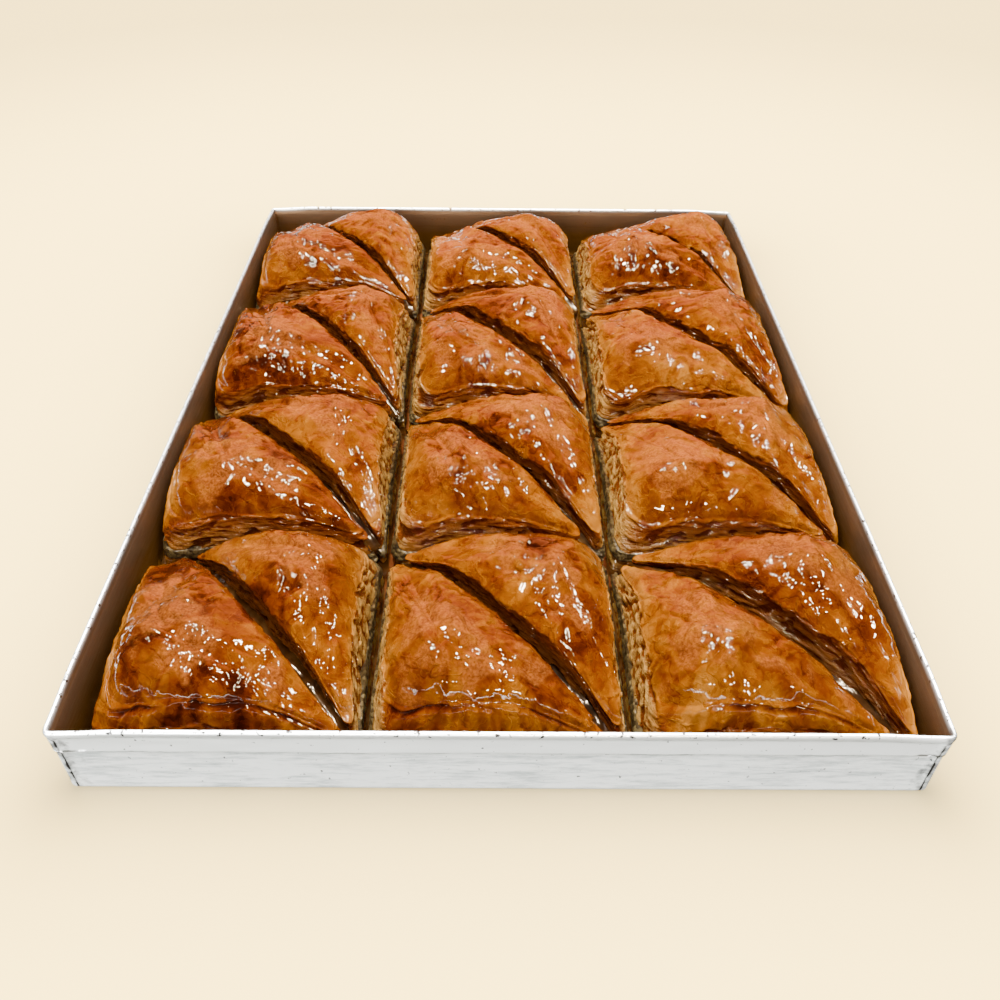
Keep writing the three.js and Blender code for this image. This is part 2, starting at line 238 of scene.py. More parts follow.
@dataclass(frozen=True)
class CutPlan:
    """Where the pastry is cut and how each side stands, in millimetres, as in the part.

    Rows run from the front and columns from the left. A slanting cut starts so far right of its
    block's back left corner, and ends so far left of the front right one.
    """

    wall_clearance: float = 1.6
    cuts_along: tuple[float, ...] = (-48.5, 46)
    cuts_across: tuple[float, ...] = (-97.5, -2.5, 102)
    half_cut: float = 0.9
    slanting_gap: float = 2.16
    cut_starts: tuple[tuple[float, ...], ...] = ((12, 0, 0), (0, -2, -2), (8, -2, -2), (9, 6, 18))
    cut_ends: tuple[tuple[float, ...], ...] = ((-2, 0, 1), (0, 3, 0), (0, 1, 3), (0, -3, 0))
    cut_leans: tuple[tuple[float, ...], ...] = (
        (2.2, 3, 5.5),
        (2.5, 2.5, 3),
        (2.5, 4, 3),
        (2, 2.5, 2),
    )
    peaks: tuple[tuple[float, ...], ...] = (
        (45, 45, 47),
        (43, 44.5, 44),
        (43, 43, 43.5),
        (44.5, 41.5, 44),
    )
    cut_lip: float = 34
    lower_leans: tuple[float, float] = (7, 6.5)
    lower_lips: tuple[float, float] = (29.5, 31)
    lower_tip_lips: tuple[float, float] = (21, 17)
    upper_leans: tuple[float, float] = (8, 5)
    upper_lips: tuple[float, float] = (32.5, 31)
    upper_tip_lips: tuple[float, float] = (19, 21)
    front_lean: float = 11
    front_lip: float = 33
    left_wall_leans: tuple[float, ...] = (8.5, 4, 2.5, 4.5)
    left_wall_lip: float = 33
    right_wall_lean: float = 4.5
    right_wall_lip: float = 32
    front_skin: float = 8.0
    wall_skin: float = 11
    column_bare: float = 1.6
    browning: tuple[tuple[tuple[float, float], ...], ...] = (
        ((0.1, 0.0), (0.02, -0.02), (-0.1, -0.03)),
        ((0.08, -0.1), (0.0, -0.03), (-0.11, -0.08)),
        ((0.1, 0.0), (0.02, 0.04), (-0.09, 0.03)),
        ((0.1, -0.08), (-0.06, -0.06), (0.08, -0.08)),
    )
    square_radius: tuple[float, float] = (4, 10)
    tip_radius: tuple[float, float] = (1.6, 2.4)

    def lines(self, size: float, cuts: tuple[float, ...], tray: TraySizes) -> list[float]:
        """The block edges along one direction, from wall to wall."""
        inside = tray.rim_overhang + tray.sheet + self.wall_clearance - self.half_cut
        return [-size / 2 + inside, *cuts, size / 2 - inside]

    def block(self, row: int, column: int, tray: TraySizes) -> tuple[float, float, float, float]:
        """The bounds of a block, with half a cut taken off each side.

        Args:
            row: from 0 at the front.
            column: from 0 at the left.
            tray: the tray that the blocks fill.

        Returns:
            Its left, right, front and back.
        """
        columns = self.lines(tray.width, self.cuts_along, tray)
        rows = self.lines(tray.length, self.cuts_across, tray)
        left, right = columns[column] + self.half_cut, columns[column + 1] - self.half_cut
        front, back = rows[row] + self.half_cut, rows[row + 1] - self.half_cut
        return left, right, front, back

    def tip(self, over: float, angle: float) -> list[float]:
        """The radii of a tip that reaches over past its block, blunt enough to stay inside."""
        blunt = max(0, over) / (1 / math.tan(angle / 2) - 1)
        return [radius + blunt for radius in self.tip_radius]

    def triangle(self, row: int, column: int, half: Half, tray: TraySizes) -> Triangle:
        """The form of one piece.

        Args:
            row: from 0 at the front.
            column: from 0 at the left.
            half: which side of the slanting cut.
            tray: the tray that the blocks fill.

        Returns:
            A triangle with its square corner first, anticlockwise.
        """
        left, right, front, back = self.block(row, column, tray)
        start, end = self.cut_starts[row][column], self.cut_ends[row][column]
        slope = (back - front) / (right - end - left - start)
        flat = math.atan(slope)
        steep = math.pi / 2 - flat
        gap = self.slanting_gap
        lean = self.cut_leans[row][column]
        if half is Half.LOWER:
            corners = [(left, front), (right - end - gap, front), (left, back + start * slope - gap)]
            tips = [self.tip(-end - gap, flat), self.tip(start * slope - gap, steep)]
            leans = [self.lower_leans[0], lean, self.lower_leans[1]]
            lips = [self.lower_lips[0], self.cut_lip, self.lower_lips[1]]
            tip_lips = self.lower_tip_lips
            skins = [0.0, 0.0, -self.column_bare]
            if row == 0:
                leans[0], lips[0], skins[0] = self.front_lean, self.front_lip, self.front_skin
            if column == 0:
                leans[2], lips[2] = self.left_wall_leans[row], self.left_wall_lip
                skins[2] = self.wall_skin
        else:
            corners = [(right, back), (left + start + gap, back), (right, front - end * slope + gap)]
            tips = [self.tip(-start - gap, flat), self.tip(end * slope - gap, steep)]
            leans = [self.upper_leans[0], lean, self.upper_leans[1]]
            lips = [self.upper_lips[0], self.cut_lip, self.upper_lips[1]]
            tip_lips = self.upper_tip_lips
            skins = [0.0, 0.0, -self.column_bare]
            if column == len(self.cuts_along):
                leans[2], lips[2] = self.right_wall_lean, self.right_wall_lip
                skins[2] = self.wall_skin
        seed = 100 * (row + 1) + 10 * (column + 1) + list(Half).index(half)
        radii = np.array([self.square_radius, *tips])
        peak = self.peaks[row][column]
        foot = tray.sheet + Triangle.rest_gap
        browning = self.browning[row][column][list(Half).index(half)]
        corners = np.array(corners)
        return Triangle(seed, corners, radii, leans, lips, tip_lips, peak, foot, skins, browning)


@dataclass
class Stops:
    """The steps round a triangle's outline, each at a corner's turn or along the side after it."""

    corner: np.ndarray
    turn: np.ndarray
    along: np.ndarray

    @classmethod
    def spread(cls, arcs: tuple[int, ...], sides: tuple[int, ...]) -> Stops:
        """Steps each corner's arc and each side evenly.

        Args:
            arcs: how many steps each corner's arc has.
            sides: how many steps the side after each corner has.

        Returns:
            The steps, in order round the outline.
        """
        corner, turn, along = [], [], []
        for k, (arc, side) in enumerate(zip(arcs, sides)):
            corner += [k] * (arc + side)
            turn += [*np.linspace(0, 1, arc + 1), *np.ones(side - 1)]
            along += [*np.zeros(arc + 1), *(np.arange(1, side) / side)]
        return cls(np.array(corner), np.array(turn), np.array(along))


@dataclass
class Triangle:
    """One puffed triangle, as the part's solid has it.

    Its sides are, in order, the one along a cross cut, the slanting one and the one along a long
    cut. Each leans in by its own amount up to the crust's edge, and a dome rises over them.
    """

    seed: int
    corners: np.ndarray
    radii: np.ndarray
    side_leans: list[float]
    side_lips: list[float]
    tip_lips: tuple[float, float]
    peak: float
    foot: float
    skins: list[float]
    browning: float
    rest_gap: float = 0.3
    cut_crest: float = 4.0
    peak_spread: float = 0.8
    lip_spread: float = 1.0
    tip_lip_spread: float = 1.5
    tip_reach: float = 36.0
    tip_lean_share: float = 0.4
    square_drop: float = 4.5
    square_drop_reach: float = 25.0
    lean_spread: float = 0.8
    lean_power: float = 1.45
    edge_bulge: float = 1.2
    centre_shift: float = 2.0
    crown_radius: float = 21.0
    dome_power: float = 2.0
    lump_height: float = 0.45
    lump_lengths: tuple[float, ...] = (31, 23, 17, 12)

    def __post_init__(self) -> None:
        """Draws the piece's own unevenness, in the same order as the part does."""
        draw = Draw(self.seed)
        way = np.roll(self.corners, -1, 0) - self.corners
        way /= np.linalg.norm(way, axis=1)[:, None]
        self.normals = np.stack([way[:, 1], -way[:, 0]], -1)
        self.top = self.peak + self.peak_spread * draw()
        self.lips = np.array([lip + self.lip_spread * draw() for lip in self.side_lips])
        self.tip_spread = self.tip_lip_spread * draw()
        self.leans = np.array([lean + self.lean_spread * draw() for lean in self.side_leans])
        self.bulges = np.array([self.edge_bulge * draw() for _ in range(3)])
        shift = np.array([self.centre_shift * draw(), self.centre_shift * draw()])
        self.lumps = [(TAU / length, math.pi * draw(), math.pi * draw()) for length in self.lump_lengths]
        weights = np.array([math.sqrt(2) - 1, 1 - math.sqrt(0.5), 1 - math.sqrt(0.5)])
        self.centre = weights @ self.corners + shift

    def arc_point(self, k: int, turn: np.ndarray, insets: np.ndarray, share: np.ndarray) -> np.ndarray:
        """A point of corner k's arc, about where both sides meet once moved in by inset and radius.

        Args:
            k: the corner.
            turn: 0 where the arc meets the side before it, 1 where it meets the side after it.
            insets: how far the three sides have moved in, shape (..., 3).
            share: 0 at the foot and 1 at the crust's edge.

        Returns:
            Plan points, shape (..., 2).
        """
        radius = mix(self.radii[k, 0], self.radii[k, 1], share)
        a, b = self.normals[k - 1], self.normals[k]
        c = a @ b
        inset_a, inset_b = insets[..., k - 1] + radius, insets[..., k] + radius
        along_a = ((inset_a - c * inset_b) / (1 - c * c))[..., None]
        along_b = ((inset_b - c * inset_a) / (1 - c * c))[..., None]
        start = math.atan2(a[1], a[0])
        sweep = (math.atan2(b[1], b[0]) - start) % TAU
        angle = start + turn * sweep
        arc = np.stack([np.cos(angle), np.sin(angle)], -1)
        return self.corners[k] - along_a * a - along_b * b + radius[..., None] * arc

    def outline(self, stops: Stops, insets: np.ndarray, share: np.ndarray) -> np.ndarray:
        """The outline at an inset: arcs at the corners, and sides that swell by a sine.

        Args:
            stops: the steps round the outline.
            insets: how far in each side is, shape (rings, steps, 3).
            share: 0 at the foot and 1 at the crust's edge, shape (rings, steps).

        Returns:
            Plan points, shape (rings, steps, 2).
        """
        points = np.zeros((*share.shape, 2))
        for k in range(3):
            here = stops.corner == k
            i, s = insets[:, here], share[:, here]
            along = np.broadcast_to(stops.along[here], s.shape)
            start = self.arc_point(k, stops.turn[here], i, s)
            end = self.arc_point((k + 1) % 3, np.zeros_like(s), i, s)
            bulge = s * self.bulges[k] * np.sin(np.pi * along)
            points[:, here] = mix(start, end, along[..., None]) + bulge[..., None] * self.normals[k]
        return points

    def foot_line(self, stops: Stops) -> np.ndarray:
        """The outline where the piece stands, shape (steps, 2)."""
        steps = len(stops.corner)
        return self.outline(stops, np.zeros((1, steps, 3)), np.zeros((1, steps)))[0]

    def edge(self, stops: Stops) -> tuple[np.ndarray, np.ndarray]:
        """The crust's edge: its height, and the share of the lean there.

        The height falls towards the tips by the share 1 - (1 - x)^2 of the way, and towards the
        square corner by an eased step, and crests by a sine along the slanting side.

        Args:
            stops: the steps round the outline.

        Returns:
            The heights and the lean shares, each of shape (steps,).
        """
        line = self.foot_line(stops)
        none, nought = np.zeros((1, 3)), np.zeros(1)
        tips = [self.arc_point(k, np.array([0.5]), none, nought)[0] for k in (1, 2)]
        away = np.stack([np.linalg.norm(line - tip, axis=1) for tip in tips])
        near = away.argmin(0)
        share = clamp01(away.min(0) / self.tip_reach)
        body = share * (2 - share)
        from_square = np.linalg.norm(line - self.corners[0], axis=1)
        drop = self.square_drop * (1 - smooth(from_square / self.square_drop_reach))
        crest = np.where(stops.corner == 1, self.cut_crest * np.sin(np.pi * stops.along), 0)
        before, after = self.lips[stops.corner - 1], self.lips[stops.corner]
        lip = mix(before, after, stops.turn) + crest - drop
        height = mix(np.array(self.tip_lips)[near] + self.tip_spread, lip, body)
        return height, mix(self.tip_lean_share, 1.0, body)

    def sides(self, stops: Stops, share: np.ndarray, extra: np.ndarray) -> np.ndarray:
        """Plan points of the sides, which lean in by share to a power, and by extra beside that.

        Args:
            stops: the steps round the outline.
            share: 0 at the foot and 1 at the crust's edge, shape (rings, steps).
            extra: a further inset, same shape.

        Returns:
            Plan points, shape (rings, steps, 2).
        """
        _, lean_share = self.edge(stops)
        reach = (lean_share * share**self.lean_power)[..., None]
        return self.outline(stops, self.leans * reach + extra[..., None], share)

    def lump(self, plan: np.ndarray) -> np.ndarray:
        """Large soft lumps: a sum of sine waves that cross each other."""
        waves = [np.sin(w * (plan @ [math.cos(a), math.sin(a)]) + p) for w, a, p in self.lumps]
        return self.lump_height * sum(waves)

    def dome(self, edge: np.ndarray, t: np.ndarray) -> np.ndarray:
        """The crown over an edge: each ring shrinks towards a circle and rises by 1 - (1 - t)^2.

        Args:
            edge: the crust's edge, shape (steps, 3).
            t: 0 at the edge and 1 at the top, one for each ring.

        Returns:
            Points, shape (rings, steps, 3).
        """
        t = t[:, None]
        spoke = edge[:, :2] - self.centre
        far = np.linalg.norm(spoke, axis=1)
        reach = (1 - t) * mix(far, self.crown_radius, smooth(t))
        plan = self.centre + (spoke / far[:, None]) * reach[..., None]
        rise = 1 - (1 - t) ** self.dome_power
        height = mix(edge[:, 2], self.top, rise) + rise * self.lump(plan)
        return spread(plan, height)


@dataclass(frozen=True)
class Blister:
    """A bubble under the crust: its middle, its half lengths, and how it stands, in millimetres."""

    x: float
    y: float
    long: float
    wide: float
    turn: float = 0.0
    height: float = 0.5
    toast: float = 0.0

    def away(self, plan: np.ndarray) -> np.ndarray:
        """How far out a point is, by the ellipse's own formula.

        Args:
            plan: plan points, shape (..., 2).

        Returns:
            0 in the middle and 1 on the oval.
        """
        dx, dy = plan[..., 0] - self.x, plan[..., 1] - self.y
        along = dx * math.cos(self.turn) + dy * math.sin(self.turn)
        across = dy * math.cos(self.turn) - dx * math.sin(self.turn)
        return np.hypot(along / self.long, across / self.wide)


@dataclass
class Pastry:
    """The fine form of the pastry, in millimetres: leaves, pistachio and crust."""

    stops: Stops = field(default_factory=lambda: Stops.spread((14, 8, 8), (84, 112, 84)))
    filling_low: float = 0.27
    filling_high: float = 0.42
    overlap: float = 0.02
    under_rings: int = 10
    filling_rings: int = 11
    over_rings: int = 44
    dome_rings: int = 46
    tear_depth: float = 1.3
    ripple_height: float = 0.8
    round_lip: float = 0.7
    leaf_cell: tuple[float, float, float] = (15, 15, 1.35)
    bundle_cell: tuple[float, float, float] = (19, 19, 3.2)
    rag_cell: tuple[float, float, float] = (3.4, 3.4, 1.6)
    clump_cell: float = 4.2
    tear_cell: tuple[float, float, float] = (10, 10, 8)
    pleat_length: float = 5.2
    tuck_depth: float = 2.2
    tuck_height: float = 0.9
    tier_depth: float = 3.4
    warp: float = 2.6
    swell_cell: float = 21
    bump_cells: tuple[float, float] = (10, 5)
    fold_cells: tuple[float, float] = (12, 5.5)
    crease_cells: tuple[float, float] = (15, 8)
    bubble_cell: float = 6.5
    sheet_cells: tuple[float, float] = (21, 15)
    crumple_cell: float = 2.9
    wrinkle_cell: tuple[float, float, float] = (5.2, 5.2, 4.6)
    lump_height: float = 1.15
    crease_depth: float = 0.4
    bubble_height: float = 0.5
    sheet_height: float = 0.34
    wrinkle_height: float = 0.35
    toast_level: float = 0.4
    tip_toast_reach: float = 34
    blisters: tuple[Blister, ...] = (
        Blister(-116, -156, 9, 6.5, 0.3, 0.3, 0.35),
        Blister(-105, -66, 6.5, 4, 0.8, 0.8, -0.2),
        Blister(15.5, -121, 6, 3.6, 0.1, 0.8, 0.25),
        Blister(106, -124.5, 4.2, 3.8, 0.0, 0.7, 0.3),
        Blister(-90, 9, 5.5, 3.4, 0.4, 0.7, -0.1),
        Blister(-111, 31, 5, 3, 0.2, 0.6, 0.2),
    )

    def __post_init__(self) -> None:
        """Makes the noises that shape the leaves, the crust and its browning."""
        self.leaf_grain, self.crust_grain, self.toast_grain = Grain(11), Grain(23), Grain(37)

    def edge_of(self, triangle: Triangle) -> np.ndarray:
        """The crust's edge height, rippled by two sizes of noise.

        Args:
            triangle: the piece.

        Returns:
            One height for each step round the outline.
        """
        height, _ = triangle.edge(self.stops)
        line = spread(triangle.foot_line(self.stops), 40.0)
        ripple = 1.3 * self.crust_grain(line, 21) + 0.7 * self.crust_grain(line, 7.5)
        return height + self.ripple_height * ripple

    def leaves(self, triangle: Triangle, share: np.ndarray) -> tuple[np.ndarray, dict[str, np.ndarray]]:
        """The cut side: the crust's torn edge bends over thin leaf edges, torn in places.

        Args:
            triangle: the piece.
            share: 0 at the foot and 1 at the crust's edge, shape (rings,).

        Returns:
            Points, and the values for the finish: depth below the crust, how far each point sticks
            out, and where the crust ends.
        """
        share = np.repeat(share[:, None], len(self.stops.corner), 1)
        edge = self.edge_of(triangle)
        line = np.broadcast_to(triangle.foot_line(self.stops), (*share.shape, 2))
        depth = (1 - share) * (edge - triangle.foot)
        grain = self.leaf_grain
        straw = self.side_weight(2) * (triangle.skins[2] <= 0)
        wave = 0.8 * grain(spread(line, depth * 0.3), 24) + 0.45 * grain(spread(line, depth * 0.6), 8)
        wave = wave + 0.9 * straw * grain(spread(line, depth), 5)
        place = spread(line, depth + wave + triangle.seed)
        fine = grain.ridge(place, self.leaf_cell)
        bundle = grain(place + 40, self.bundle_cell)
        ragged = grain(place + 80, self.rag_cell)
        clump = grain(spread(line, depth + 90), self.clump_cell)
        layered = 0.5 * fine + 0.65 * bundle + 0.5 * ragged
        clumped = 0.3 * (fine + bundle + ragged) + 0.75 * clump
        tear = smooth((grain(spread(line, 2.1 * depth), self.tear_cell) - 0.25) / 0.12)
        leaf_out = mix(layered, clumped, straw) - 0.65 - self.tear_depth * tear
        skin_depth = self.skin_depth(line[-1:])
        for side, skin in enumerate(triangle.skins):
            skin_depth = skin_depth + skin * self.side_weight(side)
        skin = smooth((skin_depth - depth) / 0.7)
        second = smooth((skin_depth + 2.2 + 3 * grain(spread(line, 31.0), 12) - depth) / 0.6)
        pleat = grain.ridge(spread(line, 0.22 * depth), self.pleat_length) * smooth(depth / 2.5)
        front = self.side_weight(0) * (triangle.skins[0] > 0)
        tuck_line = self.tuck_depth + 1.4 * grain(spread(line, 61.0), 13)
        tuck = np.exp(-(((depth - tuck_line) / self.tuck_height) ** 2)) * front
        tuck = tuck * smooth(0.7 + 1.6 * grain(spread(line, 71.0), 22))
        tier = 0.16 * smooth((depth - self.tier_depth) / 1.2) * front
        skin_out = 0.3 + 0.5 * grain(spread(line, depth), 9) + 0.6 * pleat
        skin_out = skin_out + 0.25 * grain(spread(line, depth), 3.6) - 1.5 * tuck
        out = mix(leaf_out + 0.7 * second, skin_out, skin)
        out = out * smooth(share / 0.05) - 0.45 * np.exp(-depth / 0.8)
        height = mix(triangle.foot, edge, share) - self.round_lip * np.exp(-depth / 1.2)
        plan = triangle.sides(self.stops, share, -out)
        proud = mix(0.6 * fine, 0.25 * fine + 0.7 * clump, straw)
        values = {
            "depth": np.maximum(depth - skin_depth + 1.5, 0),
            "edge": clamp01(0.4 + proud + 0.25 * ragged - 0.8 * tear),
            "side": 1 - smooth((skin_depth - depth) / 0.6 + 0.5),
            # straw runs down to -1 on the slanting cut, where it carries a painted shade
            "straw": np.broadcast_to(straw - self.side_weight(1), share.shape),
            "dry": np.zeros_like(share),
            # toast darkens in the tuck under the crust's lip, a painted shade, and pales on the pleats'
            # crests, a painted highlight; it also darkens with depth and pales on the lower tier
            "toast": 0.03 * depth + 0.4 * tuck - 0.2 * pleat - tier,
        }
        return spread(plan, height), values

    def skin_depth(self, line: np.ndarray) -> np.ndarray:
        """How far the crust bends down the side before its torn edge."""
        grain = self.leaf_grain
        return 2.0 + 1.8 * grain(spread(line, 5.0), 16) + 1.0 * grain(spread(line, 9.0), 4.5)

    def side_weight(self, side: int) -> np.ndarray:
        """The share of a side in each step, eased round its corners.

        Args:
            side: 0 for the cross cut, 1 for the slanting cut, 2 for the long cut.

        Returns:
            1 along the side and 0 along the others.
        """
        here = np.where(self.stops.corner == side, smooth(self.stops.turn), 0)
        leaving = np.where(self.stops.corner == (side + 1) % 3, 1 - smooth(self.stops.turn), 0)
        return np.maximum(here, leaving)

    def crust(self, triangle: Triangle, edge: np.ndarray) -> tuple[np.ndarray, dict[str, np.ndarray]]:
        """The puffed crust: creases, torn sheet steps, wrinkles across its edge, and blisters.

        Args:
            triangle: the piece.
            edge: the crust's edge, shape (steps, 3).

        Returns:
            Points, and the values for the finish.
        """
        t = (np.arange(1, self.dome_rings + 1) / (self.dome_rings + 0.6)) ** 1.12
        height, _ = triangle.edge(self.stops)
        full, nought = np.ones((1, len(height))), np.zeros((1, len(height)))
        even = spread(triangle.sides(self.stops, full, nought)[0], height)
        points = triangle.dome(even, t)
        inward = t[:, None] * np.linalg.norm(edge[:, :2] - triangle.centre, axis=1)
        points[..., :2] += (edge - even)[:, :2] * np.exp(-inward / 2.5)[..., None]
        points[..., 2] += (edge - even)[:, 2] * np.exp(-((inward / 6) ** 2))
        points[..., 2] -= self.round_lip * (np.exp(-inward / 1.2) - np.exp(-((inward / 6) ** 2)))
        plan = points[..., :2]
        grain = self.crust_grain
        flat = spread(plan, 3.0 + triangle.seed)
        bent = spread(plan + self.warp * np.stack([grain(flat, 9), grain(flat + 50, 9)], -1), 7.0)
        busy = 0.35 + 0.65 * smooth(0.5 + 1.3 * grain(flat, 30))
        large, small = self.bump_cells
        bumps = 1.4 * np.abs(grain(bent + 31, large)) + 1.2 * np.abs(grain(bent + 77, small)) - 0.6
        large, small = self.fold_cells
        folds = 0.5 * grain.ridge(bent + 11, large) + 0.45 * grain.ridge(bent + 57, small) - 0.3
        choice = smooth(0.5 + 1.6 * grain(flat + 45, 26))
        lump = 0.7 * grain(bent, self.swell_cell) + mix(bumps, folds, choice)
        lump = lump + 0.2 * grain(bent + 99, self.crumple_cell)
        large, small = self.crease_cells
        crease = np.exp(-((grain(bent + 60, large) / 0.07) ** 2))
        crease = crease + 0.6 * np.exp(-((grain(bent + 90, small) / 0.08) ** 2))
        bubble = smooth((grain(bent + 120, self.bubble_cell) - 0.25) / 0.3)
        large, small = self.sheet_cells
        sheet = smooth((grain(bent + 140, large) - 0.12) / 0.05)
        sheet = sheet + smooth((grain(bent + 190, small) - 0.3) / 0.06)
        lip_place = np.broadcast_to(edge[:, :2], plan.shape)
        wrinkle = grain.ridge(spread(lip_place, inward / 5 + 9), self.wrinkle_cell)
        band = smooth((inward - 1) / 4) * (1 - smooth((inward - 7) / 13))
        band = band * (1 - smooth(t / 0.5))[:, None]
        patch = smooth(0.45 + 1.6 * grain(flat + 20, 26))
        relief = self.lump_height * lump - self.crease_depth * crease + self.bubble_height * bubble
        relief = relief * busy + self.sheet_height * sheet + self.wrinkle_height * wrinkle * band * patch
        toast = np.zeros(plan.shape[:-1])
        for blister in self.blisters:
            far = blister.away(plan)
            rim = np.exp(-(((far - 1) / 0.2) ** 2))
            inside = 1 - smooth(far - 0.2)
            raised = 0.55 * (1 - smooth(far)) + 0.6 * rim
            relief = relief * (1 - 0.8 * inside) + blister.height * raised
            toast += blister.toast * (1 - smooth((far - 0.85) / 0.25)) + 0.12 * rim
        points[..., 2] += relief * smooth(inward / 4)
        tone = self.toast_grain
        toast += self.toast_level + triangle.browning
        toast += 0.2 * tone(flat, 38) + 0.18 * tone(flat, 15) + 0.12 * tone(bent, 6)
        # darker where sheets overlap; darker in the creases, a painted shade, and paler on the raised
        # lumps, a painted highlight
        toast += 0.08 * sheet + 0.2 * crease * busy - 0.24 * lump * busy
        lip_pale = 0.42 * np.exp(-inward / 3.5) + 0.1 * np.exp(-inward / 12)
        toast -= lip_pale * (0.1 + 0.9 * self.side_weight(2))
        toast -= 0.25 * (1 - self.tip_share(triangle, plan))
        # dry lays paler patches, partly dried sugar and partly a painted sheen, strongest on the crown
        # and on the lumps
        crown = smooth((t - 0.1) / 0.5)[:, None]
        dry = 0.75 * crown - 0.1 + 0.8 * tone(bent + 70, 15) + 0.35 * tone(bent + 90, 6) + 0.2 * lump
        nought = np.zeros_like(toast)
        values = {
            "toast": toast,
            "dry": dry,
            "depth": nought,
            "edge": nought + 0.5,
            "side": nought,
            "straw": nought,
        }
        return points, values

    def tip_share(self, triangle: Triangle, plan: np.ndarray) -> np.ndarray:
        """0 at the sharp tips, eased to 1 at some way from them."""
        away = [np.linalg.norm(plan - corner, axis=-1) for corner in triangle.corners[1:]]
        return smooth(np.minimum(*away) / self.tip_toast_reach)

    def over(self, triangle: Triangle) -> Surface:
        """The leaves over the pistachio, with the crust on them.

        Args:
            triangle: the piece.

        Returns:
            Rings from the pistachio up to the crown.
        """
        low = self.filling_high - self.overlap
        share = low + (1 - low) * np.linspace(0, 1, self.over_rings)
        leaves, beside = self.leaves(triangle, share)
        crust, above = self.crust(triangle, leaves[-1])
        beside["toast"] = beside["toast"] + above["toast"][0]
        values = {key: np.concatenate([beside[key], above[key]]) for key in above}
        return Surface(np.concatenate([leaves, crust]), values)

    def under(self, triangle: Triangle) -> Surface:
        """The leaves under the pistachio."""
        share = np.linspace(0, self.filling_low + self.overlap, self.under_rings)
        return Surface(*self.leaves(triangle, share))

    def filling(self, triangle: Triangle) -> Surface:
        """The band of ground pistachio, whose crumbs bulge out of the cut side.

        Args:
            triangle: the piece.

        Returns:
            Rings from the leaves under it to the leaves over it.
        """
        share = np.linspace(self.filling_low, self.filling_high, self.filling_rings)
        share = np.repeat(share[:, None], len(self.stops.corner), 1)
        height = mix(triangle.foot, self.edge_of(triangle), share)
        line = np.broadcast_to(triangle.foot_line(self.stops), (*share.shape, 2))
        crumb = self.leaf_grain.ridge(spread(line, height), 2.6)
        swell = self.leaf_grain(spread(line, height), 14)
        out = 0.15 + 0.55 * crumb + 0.5 * swell
        return Surface(spread(triangle.sides(self.stops, share, -out), height))


@dataclass
class SyrupFill:
    """Syrup that stands in the slanting cuts and lies on the tray's floor, in millimetres."""

    stations: int = 90
    level: float = 23.5
    level_spread: float = 1.6
    end_drop: float = 12.0
    embed: float = 0.9
    sag: float = 1.3
    pool_depth: float = 1.0

    def strip(self, plan: CutPlan, row: int, column: int, tray: TraySizes) -> Surface:
        """One cut's syrup: a section of sloping sides and a sagging top, carried along the cut.

        Args:
            plan: where the pastry is cut.
            row: from 0 at the front.
            column: from 0 at the left.
            tray: the tray that the blocks fill.

        Returns:
            Rings across the cut, from one end to the other.
        """
        left, right, front, back = plan.block(row, column, tray)
        start = np.array([left + plan.cut_starts[row][column], back])
        end = np.array([right - plan.cut_ends[row][column], front])
        start, end = mix(start, end, 0.045), mix(start, end, 0.955)
        way = (end - start) / np.linalg.norm(end - start)
        across = np.array([way[1], -way[0]])
        along = np.linspace(0, 1, self.stations)[:, None]
        middle = mix(start, end, along)
        grain = Grain(53)
        level = self.level + self.level_spread * grain(spread(middle, 0.0), 21)
        level = level - self.end_drop * (1 - np.sin(np.pi * clamp01(along[:, 0]))) ** 2
        foot = tray.sheet + 0.05
        lean = plan.cut_leans[row][column]
        top_half = plan.slanting_gap * 0.71 + lean * ((level - foot) / plan.cut_lip) ** 1.45
        top_half = top_half + self.embed
        u = np.linspace(-1, 1, 13)
        top_x = u * top_half[:, None]
        top_z = level[:, None] - self.sag * (1 - u**2)
        place = np.stack(np.broadcast_arrays(*middle.T[:, :, None], top_x), -1)
        top_z = top_z + 0.7 * grain(place, 7) + 0.3 * grain(place, 3)
        low_x = np.stack([np.full(self.stations, 1.3), np.full(self.stations, -1.3)], -1)
        low_z = np.full_like(low_x, foot)
        offset = np.concatenate([top_x, low_x], 1)
        height = np.concatenate([top_z, low_z], 1)
        points = middle[:, None] + offset[..., None] * across
        return Surface(spread(points, height)[::-1])

    def pool(self, tray: Tray) -> Surface:
        """The thin pool: the tray's inner outline, its top, and rings that shrink to the middle.

        Args:
            tray: the tray it lies in.

        Returns:
            Rings from its edge inwards.
        """
        outline = tray.ring(-tray.sizes.sheet - 0.4, 0, 0, 0)[:, :2]
        grain = Grain(59)
        low, high = tray.sizes.sheet + 0.05, tray.sizes.sheet + self.pool_depth
        rings = [spread(outline, low), spread(outline, high + 0.3)]
        for share in (0.99, 0.97, 0.9, 0.75, 0.5, 0.2):
            inner = outline * share
            rings.append(spread(inner, high + 0.2 * grain(spread(inner, 1.0), 23)))
        return Surface(np.stack(rings))


